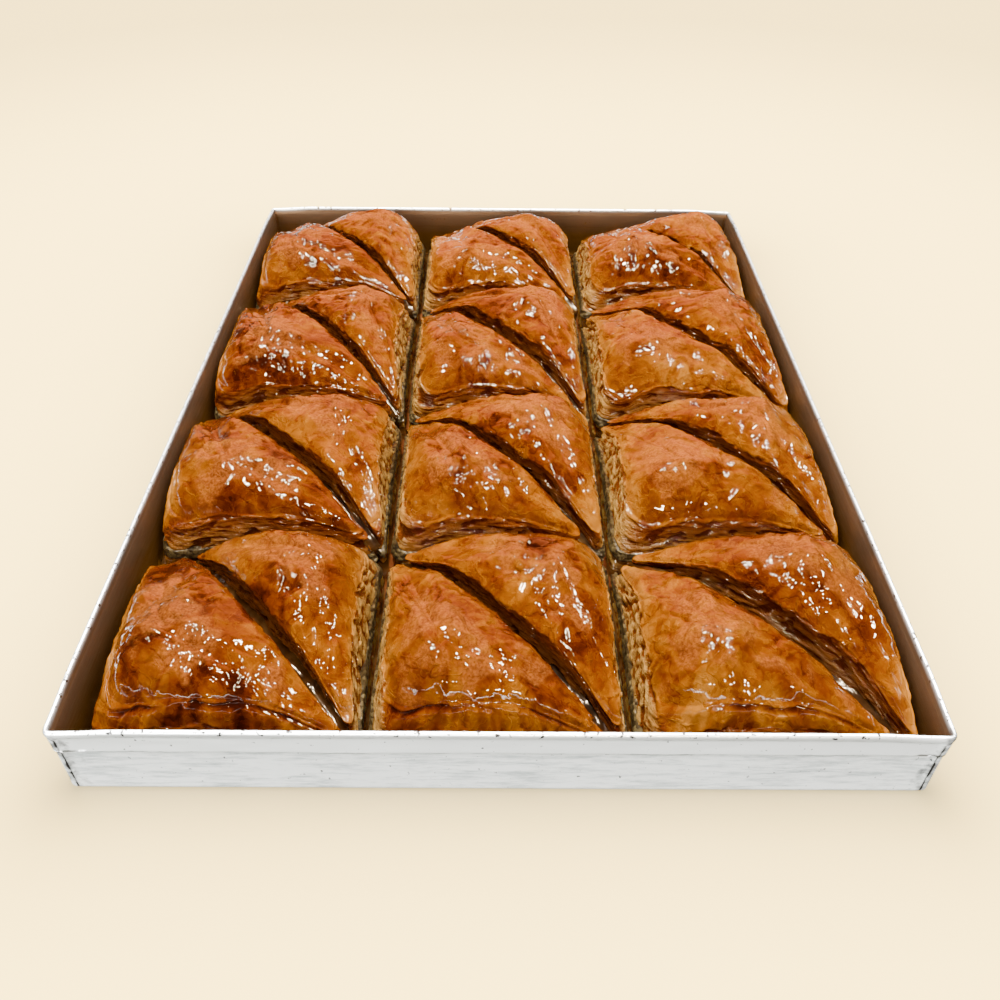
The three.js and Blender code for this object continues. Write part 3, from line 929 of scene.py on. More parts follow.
@dataclass
class Tray:
    """The aluminium tray: one sheet with a rolled rim, a hem and lapped corners."""

    sizes: TraySizes = TraySizes()
    corner_steps: int = 10
    step: float = 2.6
    rim_roll: float = 3.0
    seam_inset: float = 0.5

    def ring(self, offset: float, z: float, lap: float, dip: float) -> np.ndarray:
        """The outline at one level: a rounded rectangle, offset outwards from the wall.

        Args:
            offset: how far outside the wall's outer face.
            z: the level.
            lap: how far the folded corner stands proud.
            dip: how far the level sinks near the corners.

        Returns:
            Points, shape (steps, 3).
        """
        s = self.sizes
        half = np.array([s.width / 2 - s.rim_overhang, s.length / 2 - s.rim_overhang])
        radius = max(s.sheet / 2, s.corner_radius + offset)
        lap_edge = s.lap_width + s.lap_taper * z / s.height
        parts = []
        for k, (sx, sy) in enumerate([(1, -1), (1, 1), (-1, 1), (-1, -1)]):
            start = (k - 1) * math.pi / 2
            centre = np.array([sx, sy]) * (half - s.corner_radius)
            angle = start + np.linspace(0, math.pi / 2, self.corner_steps + 1)
            arc = centre + (radius + lap) * np.stack([np.cos(angle), np.sin(angle)], -1)
            parts.append(spread(arc, z - dip))
            run = 2 * (half[0 if k % 2 else 1] - s.corner_radius)
            inner = np.linspace(lap_edge + s.lap_edge, run - lap_edge - s.lap_edge, int(run / self.step))
            stops = np.array([lap_edge, *inner, run - lap_edge])
            from_corner = np.minimum(stops, run - stops)
            proud = radius + np.where(from_corner <= lap_edge + 1e-6, lap, 0)
            way = np.array([math.cos(start + math.pi), math.sin(start + math.pi)])
            outward = np.array([math.cos(start + math.pi / 2), math.sin(start + math.pi / 2)])
            plan = centre + proud[:, None] * outward + stops[:, None] * way
            parts.append(spread(plan, z - dip * (1 - smooth(from_corner / s.rim_dip_reach))))
        return np.concatenate(parts)

    def section(self) -> list[tuple[float, float, float, float, float]]:
        """The sheet's section, from the underside up the wall, over the rim and down to the floor.

        Returns:
            For each ring its offset, level, lap, dip, and 1 on the inside.
        """
        s = self.sizes
        inner, top, hem = -s.sheet, s.height, s.lap_step * 0.4
        levels = np.linspace(0.1, 0.975, 14)
        wall = [((1 - t) * s.wall_splay, t * s.hem_bottom, t * s.lap_step, 0.0, 0.0) for t in levels]
        band = [(s.hem_step, z, hem, s.rim_dip, 0.0) for z in np.linspace(s.hem_bottom + 1, top - 3, 7)]
        levels = np.linspace(0, 1, 12)
        inside = [(inner + t * s.wall_splay, mix(top - 4.5, 3.2, t), 0.0, 0.0, 1.0) for t in levels]
        foot = s.wall_splay
        return [
            (foot - 1.6, 0.0, 0, 0, 0),
            (foot - 0.8, 0.15, 0, 0, 0),
            (foot - 0.3, 0.6, 0, 0, 0),
            (foot, 1.4, 0, 0, 0),
            *wall,
            (0.0, s.hem_bottom, s.lap_step, 0, 0),
            (0.1, s.hem_bottom + 0.05, s.lap_step, 0, 0),
            (0.75, s.hem_bottom - 0.1, hem, 0, 0),
            (s.hem_step, s.hem_bottom + 0.3, hem, 0, 0),
            *band,
            (1.2, top - 2.6, 0, s.rim_dip, 0),
            (s.rim_overhang, top - 2.0, 0, s.rim_dip, 0),
            (s.rim_overhang, top - 1.2, 0, s.rim_dip, 0),
            (1.2, top - 0.6, 0, s.rim_dip, 0),
            (0.85, top - 0.2, 0, s.rim_dip, 0),
            (0.4, top, 0, s.rim_dip, 0),
            (0.0, top - 0.1, 0, s.rim_dip, 0.25),
            (-0.35, top - 0.5, 0, s.rim_dip, 0.6),
            (-0.5, top - 1.1, 0, s.rim_dip, 0.85),
            (-0.6, top - 2.0, 0, s.rim_dip, 1),
            (-0.9, top - 3, 0, s.rim_dip, 1),
            *inside,
            (inner + foot - 0.25, 2.1, 0, 0, 1),
            (inner + foot - 0.9, 1.5, 0, 0, 1),
            (inner + foot - s.floor_fillet, s.sheet, 0, 0, 1),
            (-12.0, s.sheet, 0, 0, 1),
        ]

    def surface(self) -> Surface:
        """The whole tray, with the dents and waves of a hand-folded sheet.

        Returns:
            Rings along the section, from the underside over the rim to the floor.
        """
        section = self.section()
        rings = np.stack([self.ring(*level[:4]) for level in section])
        inside = np.array([level[4] for level in section])[:, None]
        offset = np.array([level[0] for level in section])[:, None]
        level = np.array([level[1] for level in section])[:, None]
        s = self.sizes
        grain = Grain(71)
        line = np.broadcast_to(rings[20, :, :2], (*rings.shape[:2], 2))
        height = rings[..., 2]
        away = rings[..., :2] / np.array([s.width / 2, s.length / 2])
        long_wall = np.abs(away[..., 0]) > np.abs(away[..., 1])
        outward = np.where(long_wall[..., None], [1.0, 0.0], [0.0, 1.0]) * np.sign(away)
        corner = np.minimum(*np.moveaxis([s.width / 2, s.length / 2] - np.abs(rings[..., :2]), -1, 0))
        upright = smooth((height - 1.5) / 6) * (1 - smooth((height - 26) / 6)) * smooth(corner / -9 + 1)
        dent = 0.22 * grain(spread(line, height), (46, 46, 26)) + 0.07 * grain(spread(line, height), 9)
        rings[..., :2] += (upright * (dent - 0.12))[..., None] * outward
        hem_edge = np.exp(-(((height - s.hem_bottom) / 0.8) ** 2)) * smooth((offset - 0.05) / 0.5)
        wave = 0.35 * grain(spread(line, 2.0), 24) + 0.2 * grain(spread(line, 3.0), 6)
        rings[..., 2] += hem_edge * wave
        seams = self.seams(rings)
        values = {
            "inside": np.broadcast_to(inside, height.shape),
            "height": height / s.height,
            "hem": np.clip(height - s.hem_bottom, -3, 3),
            "seam": seams,
            "rim": np.clip(level - s.height + self.rim_roll, -3, 3) + np.zeros_like(height),
        }
        return Surface(rings, values)

    def seams(self, rings: np.ndarray) -> np.ndarray:
        """How far along the wall each point is from the edge of the lapped corner.

        Args:
            rings: the tray's points.

        Returns:
            Millimetres, up to 12 either way, and 4 more near the rim.
        """
        s = self.sizes
        half = np.array([s.width / 2 - s.rim_overhang, s.length / 2 - s.rim_overhang])
        from_corner = half - s.corner_radius - np.abs(rings[..., :2])
        gap = np.clip(from_corner.max(-1) - self.seam_inset, -12, 12)
        return gap + 4 * smooth((rings[..., 2] - s.height + 5) / 2)


def add(
    tree: bpy.types.NodeTree, kind: str, inputs: Inputs | None = None, **settings: object
) -> bpy.types.Node:
    """Adds a node.

    Args:
        tree: the material's nodes.
        kind: the node's type.
        inputs: for each input, a socket to link or a value to set.
        settings: the node's own settings. stops fills a colour ramp, with hex values.

    Returns:
        The new node.
    """
    node = tree.nodes.new(kind)
    for key, value in settings.items():
        if key == "stops":
            ramp = node.color_ramp
            while len(ramp.elements) < len(value):
                ramp.elements.new(1.0)
            for element, (position, colour) in zip(ramp.elements, value):
                element.position = position
                element.color = linear(colour)
        else:
            setattr(node, key, value)
    for key, value in (inputs or {}).items():
        if isinstance(value, bpy.types.NodeSocket):
            tree.links.new(value, node.inputs[key])
        else:
            node.inputs[key].default_value = value
    return node


def new_material(name: str) -> tuple[bpy.types.Material, bpy.types.NodeTree]:
    """Makes an empty material.

    Args:
        name: the material's name.

    Returns:
        The material and its nodes.
    """
    material = bpy.data.materials.new(name)
    material.use_nodes = True
    material.node_tree.nodes.clear()
    return material, material.node_tree


def finish_material(material: bpy.types.Material, inputs: Inputs) -> bpy.types.Material:
    """Adds the main shader and the output.

    Args:
        material: the material, with its nodes.
        inputs: the shader's sockets and values by name.

    Returns:
        The same material.
    """
    tree = material.node_tree
    shader = add(tree, "ShaderNodeBsdfPrincipled", inputs)
    add(tree, "ShaderNodeOutputMaterial", {"Surface": shader.outputs["BSDF"]})
    return material


@dataclass(frozen=True)
class SyrupedFilo:
    """Baked filo leaves under clear sugar syrup.

    The eye gets amber to red-brown leaves with a broad haze, reflected in the syrup from a warm lamp and
    partly a painted sheen of paler patches on the crowns, crisp small glints from the syrup over it, and
    paler, straw-coloured edges where the stack is cut, with painted shade in the grooves, deep in the
    stack and on the slanting cuts.
    """

    crust: tuple[tuple[float, str], ...] = (
        (0.0, "#DC9634"),
        (0.2, "#C07614"),
        (0.42, "#A0580A"),
        (0.62, "#863E06"),
        (0.82, "#642402"),
        (1.0, "#401000"),
    )
    # the groove ramp darkens deeper in the stack, partly painted shade
    groove: tuple[tuple[float, str], ...] = (
        (0.0, "#8A3806"),
        (0.2, "#722A06"),
        (0.5, "#62300C"),
        (1.0, "#36200C"),
    )
    leaf: tuple[tuple[float, str], ...] = (
        (0.0, "#B2580E"),
        (0.15, "#B0621A"),
        (0.4, "#CC8E48"),
        (1.0, "#94682E"),
    )
    straw: tuple[tuple[float, str], ...] = (
        (0.0, "#ECA640"),
        (0.2, "#FFD078"),
        (0.55, "#F4CA74"),
        (1.0, "#A68A4A"),
    )
    straw_groove: str = "#8A4A14"
    # shaded is a painted shade laid over the slanting cut's sides
    shaded: str = "#6C2804"
    shaded_share: float = 0.5
    # the dried colour is partly a sugary skin and partly a painted sheen
    dried_and_sheen: str = "#D8843E"
    roughness: float = 0.5
    leaf_ior: float = 1.03
    syrup_roughness: float = 0.04
    syrup_ior: float = 1.42

    def material(self) -> bpy.types.Material:
        """Makes the material: a crust ramp and a cut ramp, mixed by the side attribute.

        Returns:
            The new material.
        """
        material, tree = new_material("syruped_filo")
        place = add(tree, "ShaderNodeTexCoord").outputs["Object"]
        read = {
            name: add(tree, "ShaderNodeAttribute", attribute_name=name).outputs["Fac"]
            for name in ("toast", "dry", "depth", "edge", "side", "straw")
        }
        bend = add(tree, "ShaderNodeTexNoise", {"Vector": place, "Scale": per_mm(8), "Detail": 3.0})
        shift = add(
            tree,
            "ShaderNodeVectorMath",
            {0: bend.outputs["Color"], 1: (7 * MM,) * 3, 2: place},
            operation="MULTIPLY_ADD",
        ).outputs["Vector"]
        mottle = add(
            tree,
            "ShaderNodeTexNoise",
            {"Vector": shift, "Scale": per_mm(5.5), "Detail": 7.0, "Roughness": 0.74},
        ).outputs["Fac"]
        line, rims = self.torn_sheets(tree, shift)
        wrinkle = self.wrinkles(tree, shift)
        toast = read["toast"]
        # stacked sheets darken the toast; the paler sheet rims and wrinkle crests are a painted
        # highlight, and the darker wrinkle creases a painted shade
        for source, amount in ((line, 0.12), (rims, -0.08), (wrinkle, -0.14), (mottle, 0.75)):
            centred = add(
                tree,
                "ShaderNodeMath",
                {0: source, 1: amount, 2: -amount / 2},
                operation="MULTIPLY_ADD",
            ).outputs["Value"]
            toast = add(tree, "ShaderNodeMath", {0: toast, 1: centred}).outputs["Value"]
        amber = add(tree, "ShaderNodeValToRGB", {"Fac": toast}, stops=self.crust).outputs["Color"]
        # the paler patches are partly dried sugar and partly a painted sheen
        crust = self.dried_and_sheen_colour(tree, read["dry"], mottle, amber, place)
        cut = self.cut_colour(tree, read, place)
        colour = add(
            tree,
            "ShaderNodeMix",
            {"Factor": read["side"], "A": crust, "B": cut},
            data_type="RGBA",
        ).outputs["Result"]
        return finish_material(
            material,
            {
                "Base Color": colour,
                "Roughness": self.roughness,
                "IOR": self.leaf_ior,
                "Coat Weight": 1.0,
                "Coat Roughness": self.syrup_roughness,
                "Coat IOR": self.syrup_ior,
                "Normal": self.relief(tree, place, mottle, wrinkle, read),
                "Coat Normal": self.syrup_surface(tree, place, read["side"]),
            },
        )

    def wrinkles(self, tree: bpy.types.NodeTree, place: bpy.types.NodeSocket) -> bpy.types.NodeSocket:
        """Thin wrinkles: where a noise is near its middle, broken up by a second one.

        Args:
            tree: the material's nodes.
            place: the object coordinates, warped.

        Returns:
            1 along the crests and -1 along the creases.
        """
        total = 0.0
        for length, crest in ((12.0, 1.0), (7.0, 0.8), (15.0, -1.0)):
            noise = add(
                tree,
                "ShaderNodeTexNoise",
                {
                    "Vector": place,
                    "Scale": per_mm(length),
                    "Detail": 1.5,
                    "Roughness": 0.5,
                    "Distortion": 0.3,
                },
            ).outputs["Color"]
            parts = add(tree, "ShaderNodeSeparateColor", {"Color": noise})
            red, green = parts.outputs["Red"], parts.outputs["Green"]
            away = add(tree, "ShaderNodeMath", {0: red, 1: 0.5}, operation="SUBTRACT").outputs["Value"]
            away = add(tree, "ShaderNodeMath", {0: away}, operation="ABSOLUTE").outputs["Value"]
            fold = add(
                tree,
                "ShaderNodeMapRange",
                {"Value": away, "From Max": 0.02, "To Min": crest, "To Max": 0.0},
            ).outputs["Result"]
            broken = add(
                tree, "ShaderNodeMapRange", {"Value": green, "From Min": 0.44, "From Max": 0.54}
            ).outputs["Result"]
            total = add(
                tree, "ShaderNodeMath", {0: fold, 1: broken, 2: total}, operation="MULTIPLY_ADD"
            ).outputs["Value"]
        return total

    def dried_and_sheen_colour(
        self,
        tree: bpy.types.NodeTree,
        dry: bpy.types.NodeSocket,
        mottle: bpy.types.NodeSocket,
        amber: bpy.types.NodeSocket,
        place: bpy.types.NodeSocket,
    ) -> bpy.types.NodeSocket:
        """The crust's colour with paler patches, partly where the syrup has dried to a sugary skin and
        partly a painted sheen on the crowns.

        Args:
            tree: the material's nodes.
            dry: how dry the crust is, and how strong its painted sheen.
            mottle: the mottling that frays the patches.
            amber: the colour under wet syrup.
            place: the object coordinates.

        Returns:
            The colour, with a grain of sugar in the dried patches.
        """
        frayed = add(
            tree, "ShaderNodeMath", {0: mottle, 1: 1.2, 2: dry}, operation="MULTIPLY_ADD"
        ).outputs["Value"]
        patch = add(
            tree,
            "ShaderNodeMapRange",
            {"Value": frayed, "From Min": 0.92, "From Max": 1.2, "To Max": 0.42},
        ).outputs["Result"]
        sugar = add(
            tree,
            "ShaderNodeTexNoise",
            {"Vector": place, "Scale": per_mm(1.1), "Detail": 2.0, "Roughness": 0.6},
        ).outputs["Fac"]
        grainy = add(
            tree,
            "ShaderNodeMapRange",
            {"Value": sugar, "From Min": 0.38, "From Max": 0.62, "To Min": 0.6, "To Max": 1.4},
        ).outputs["Result"]
        pale = add(
            tree,
            "ShaderNodeVectorMath",
            {0: linear(self.dried_and_sheen)[:3], "Scale": grainy},
            operation="SCALE",
        ).outputs["Vector"]
        return add(
            tree, "ShaderNodeMix", {"Factor": patch, "A": amber, "B": pale}, data_type="RGBA"
        ).outputs["Result"]

    def torn_sheets(
        self, tree: bpy.types.NodeTree, place: bpy.types.NodeSocket
    ) -> tuple[bpy.types.NodeSocket, bpy.types.NodeSocket]:
        """Loose sheets: noise cut off at two levels, with crisp edges.

        Args:
            tree: the material's nodes.
            place: the object coordinates, warped.

        Returns:
            How many sheets lie over a point, and 1 along their edges.
        """
        total, rims = 0.0, 0.0
        for length, level in ((13.0, 0.52), (8.0, 0.57)):
            noise = add(
                tree,
                "ShaderNodeTexNoise",
                {"Vector": place, "Scale": per_mm(length), "Detail": 4.0, "Roughness": 0.6},
            ).outputs["Fac"]
            step = add(
                tree,
                "ShaderNodeMapRange",
                {"Value": noise, "From Min": level, "From Max": level + 0.012},
            ).outputs["Result"]
            total = add(tree, "ShaderNodeMath", {0: step, 1: total}).outputs["Value"]
            away = add(
                tree, "ShaderNodeMath", {0: noise, 1: level}, operation="SUBTRACT"
            ).outputs["Value"]
            away = add(tree, "ShaderNodeMath", {0: away}, operation="ABSOLUTE").outputs["Value"]
            rim = add(
                tree,
                "ShaderNodeMapRange",
                {"Value": away, "From Max": 0.012, "To Min": 1.0, "To Max": 0.0},
            ).outputs["Result"]
            rims = add(tree, "ShaderNodeMath", {0: rim, 1: rims}).outputs["Value"]
        return total, rims

    def cut_colour(
        self,
        tree: bpy.types.NodeTree,
        read: dict[str, bpy.types.NodeSocket],
        place: bpy.types.NodeSocket,
    ) -> bpy.types.NodeSocket:
        """The colour of the leaves' cut edges.

        Args:
            tree: the material's nodes.
            read: the piece's values by name.
            place: the object coordinates.

        Returns:
            A colour that deepens below the crust, with golden leaf edges and darker grooves between
            them, the deepening and the grooves partly painted shade, and a painted shade on the slanting
            cut's sides.
        """
        streak = self.streaks(tree, place)
        deep = add(
            tree, "ShaderNodeMath", {0: read["depth"], 1: 1 / 26}, operation="MULTIPLY"
        ).outputs["Value"]
        clump = add(
            tree,
            "ShaderNodeTexNoise",
            {"Vector": place, "Scale": per_mm(4), "Detail": 5.0, "Roughness": 0.7},
        ).outputs["Fac"]
        pattern = add(
            tree,
            "ShaderNodeMix",
            {"Factor": read["straw"], "A": streak, "B": clump},
            data_type="FLOAT",
        ).outputs["Result"]
        # The grooves between proud leaf edges, and the leaves deep in the stack, take darker colours,
        # partly painted shade.
        laid = add(
            tree, "ShaderNodeMath", {0: read["edge"], 1: 0.4, 2: pattern}, operation="MULTIPLY_ADD"
        ).outputs["Value"]
        proud = add(
            tree, "ShaderNodeMapRange", {"Value": laid, "From Min": 0.58, "From Max": 0.8}
        ).outputs["Result"]
        groove, leaf, straw = (
            add(tree, "ShaderNodeValToRGB", {"Fac": deep}, stops=stops).outputs["Color"]
            for stops in (self.groove, self.leaf, self.straw)
        )
        edge = add(
            tree,
            "ShaderNodeMix",
            {"Factor": read["straw"], "A": leaf, "B": straw},
            data_type="RGBA",
        ).outputs["Result"]
        between = add(
            tree,
            "ShaderNodeMix",
            {"Factor": read["straw"], "A": groove, "B": linear(self.straw_groove)},
            data_type="RGBA",
        ).outputs["Result"]
        bare = add(
            tree, "ShaderNodeMix", {"Factor": proud, "A": between, "B": edge}, data_type="RGBA"
        ).outputs["Result"]
        # A painted shade darkens the slanting cut's sides, where the straw value runs below zero.
        painted_slant_shade = add(
            tree,
            "ShaderNodeMapRange",
            {
                "Value": read["straw"],
                "From Min": -0.2,
                "From Max": -0.8,
                "To Max": self.shaded_share,
            },
        ).outputs["Result"]
        return add(
            tree,
            "ShaderNodeMix",
            {"Factor": painted_slant_shade, "A": bare, "B": linear(self.shaded)},
            data_type="RGBA",
        ).outputs["Result"]

    def streaks(self, tree: bpy.types.NodeTree, place: bpy.types.NodeSocket) -> bpy.types.NodeSocket:
        """Noise drawn out level by seven times, for the thin leaves of a cut side.

        Args:
            tree: the material's nodes.
            place: the object coordinates.

        Returns:
            A value of about 0 to 1.
        """
        flat = add(tree, "ShaderNodeMapping", {"Vector": place, "Scale": (1, 1, 7)}).outputs["Vector"]
        noise = add(
            tree,
            "ShaderNodeTexNoise",
            {"Vector": flat, "Scale": per_mm(7), "Detail": 5.0, "Roughness": 0.65},
        )
        return noise.outputs["Fac"]

    def relief(
        self,
        tree: bpy.types.NodeTree,
        place: bpy.types.NodeSocket,
        mottle: bpy.types.NodeSocket,
        wrinkle: bpy.types.NodeSocket,
        read: dict[str, bpy.types.NodeSocket],
    ) -> bpy.types.NodeSocket:
        """The fine crinkle of a syruped leaf, too small for the mesh.

        Args:
            tree: the material's nodes.
            place: the object coordinates.
            mottle: the coarse mottling.
            wrinkle: the thin wrinkles.
            read: the piece's values by name.

        Returns:
            The bent normal.
        """
        crinkle = add(
            tree,
            "ShaderNodeTexNoise",
            {
                "Vector": place,
                "Scale": per_mm(7),
                "Detail": 3.0,
                "Roughness": 0.45,
                "Offset": 1.0,
                "Gain": 1.2,
            },
            noise_type="RIDGED_MULTIFRACTAL",
        ).outputs["Fac"]
        height = add(
            tree, "ShaderNodeMath", {0: mottle, 1: 1.5, 2: crinkle}, operation="MULTIPLY_ADD"
        ).outputs["Value"]
        height = add(
            tree, "ShaderNodeMath", {0: wrinkle, 1: 0.7, 2: height}, operation="MULTIPLY_ADD"
        ).outputs["Value"]
        leaves = add(
            tree,
            "ShaderNodeMath",
            {0: self.streaks(tree, place), 1: read["side"]},
            operation="MULTIPLY",
        ).outputs["Value"]
        height = add(
            tree, "ShaderNodeMath", {0: leaves, 1: 5.0, 2: height}, operation="MULTIPLY_ADD"
        ).outputs["Value"]
        return add(
            tree,
            "ShaderNodeBump",
            {"Height": height, "Strength": 0.95, "Distance": 0.45 * MM},
        ).outputs["Normal"]

    def syrup_surface(
        self,
        tree: bpy.types.NodeTree,
        place: bpy.types.NodeSocket,
        side: bpy.types.NodeSocket,
    ) -> bpy.types.NodeSocket:
        """The syrup's own surface, which smooths over the leaf's crinkles.

        Args:
            tree: the material's nodes.
            place: the object coordinates.
            side: 1 on a cut side, where the syrup follows the leaves.

        Returns:
            The bent normal.
        """
        swell = add(
            tree,
            "ShaderNodeTexNoise",
            {"Vector": place, "Scale": per_mm(6.5), "Detail": 1.2, "Roughness": 0.4},
        ).outputs["Fac"]
        leaves = add(
            tree, "ShaderNodeMath", {0: self.streaks(tree, place), 1: side}, operation="MULTIPLY"
        ).outputs["Value"]
        height = add(
            tree, "ShaderNodeMath", {0: leaves, 1: 1.6, 2: swell}, operation="MULTIPLY_ADD"
        ).outputs["Value"]
        return add(
            tree, "ShaderNodeBump", {"Height": height, "Strength": 1.0, "Distance": 0.8 * MM}
        ).outputs["Normal"]


@dataclass(frozen=True)
class GroundPistachio:
    """Ground pistachio soaked in syrup: dull green crumbs, each a little different."""

    crumbs: tuple[tuple[float, str], ...] = (
        (0.0, "#2E2614"),
        (0.35, "#4C4226"),
        (0.7, "#6C6240"),
        (1.0, "#948A62"),
    )
    roughness: float = 0.42
    ior: float = 1.46

    def material(self) -> bpy.types.Material:
        """Makes the material: cells of crumb size, each with its own green.

        Returns:
            The new material.
        """
        material, tree = new_material("ground_pistachio")
        place = add(tree, "ShaderNodeTexCoord").outputs["Object"]
        crumb = add(tree, "ShaderNodeTexVoronoi", {"Vector": place, "Scale": per_mm(1.6)})
        pick = add(tree, "ShaderNodeSeparateColor", {"Color": crumb.outputs["Color"]}).outputs["Red"]
        colour = add(tree, "ShaderNodeValToRGB", {"Fac": pick}, stops=self.crumbs).outputs["Color"]
        normal = add(
            tree,
            "ShaderNodeBump",
            {"Height": crumb.outputs["Distance"], "Strength": 0.8, "Distance": -0.5 * MM},
        ).outputs["Normal"]
        return finish_material(
            material,
            {
                "Base Color": colour,
                "Roughness": self.roughness,
                "IOR": self.ior,
                "Coat Weight": 0.6,
                "Coat Roughness": 0.15,
                "Normal": normal,
            },
        )


@dataclass(frozen=True)
class SugarSyrup:
    """Amber sugar syrup with crumbs in it: smooth and glossy, in cloudy tones from dark to grey-brown.
    """

    tones: tuple[tuple[float, str], ...] = ((0.3, "#2A1606"), (0.5, "#4E3216"), (0.72, "#785A34"))
    roughness: float = 0.12
    ior: float = 1.45

    def material(self) -> bpy.types.Material:
        """Makes the material: slow cloudy tones under a clear gloss.

        Returns:
            The new material.
        """
        material, tree = new_material("sugar_syrup")
        place = add(tree, "ShaderNodeTexCoord").outputs["Object"]
        cloud = add(
            tree, "ShaderNodeTexNoise", {"Vector": place, "Scale": per_mm(9), "Detail": 5.0}
        ).outputs["Fac"]
        colour = add(tree, "ShaderNodeValToRGB", {"Fac": cloud}, stops=self.tones).outputs["Color"]
        normal = add(
            tree, "ShaderNodeBump", {"Height": cloud, "Strength": 0.6, "Distance": 0.6 * MM}
        ).outputs["Normal"]
        return finish_material(
            material,
            {"Base Color": colour, "Roughness": self.roughness, "IOR": self.ior, "Normal": normal},
        )


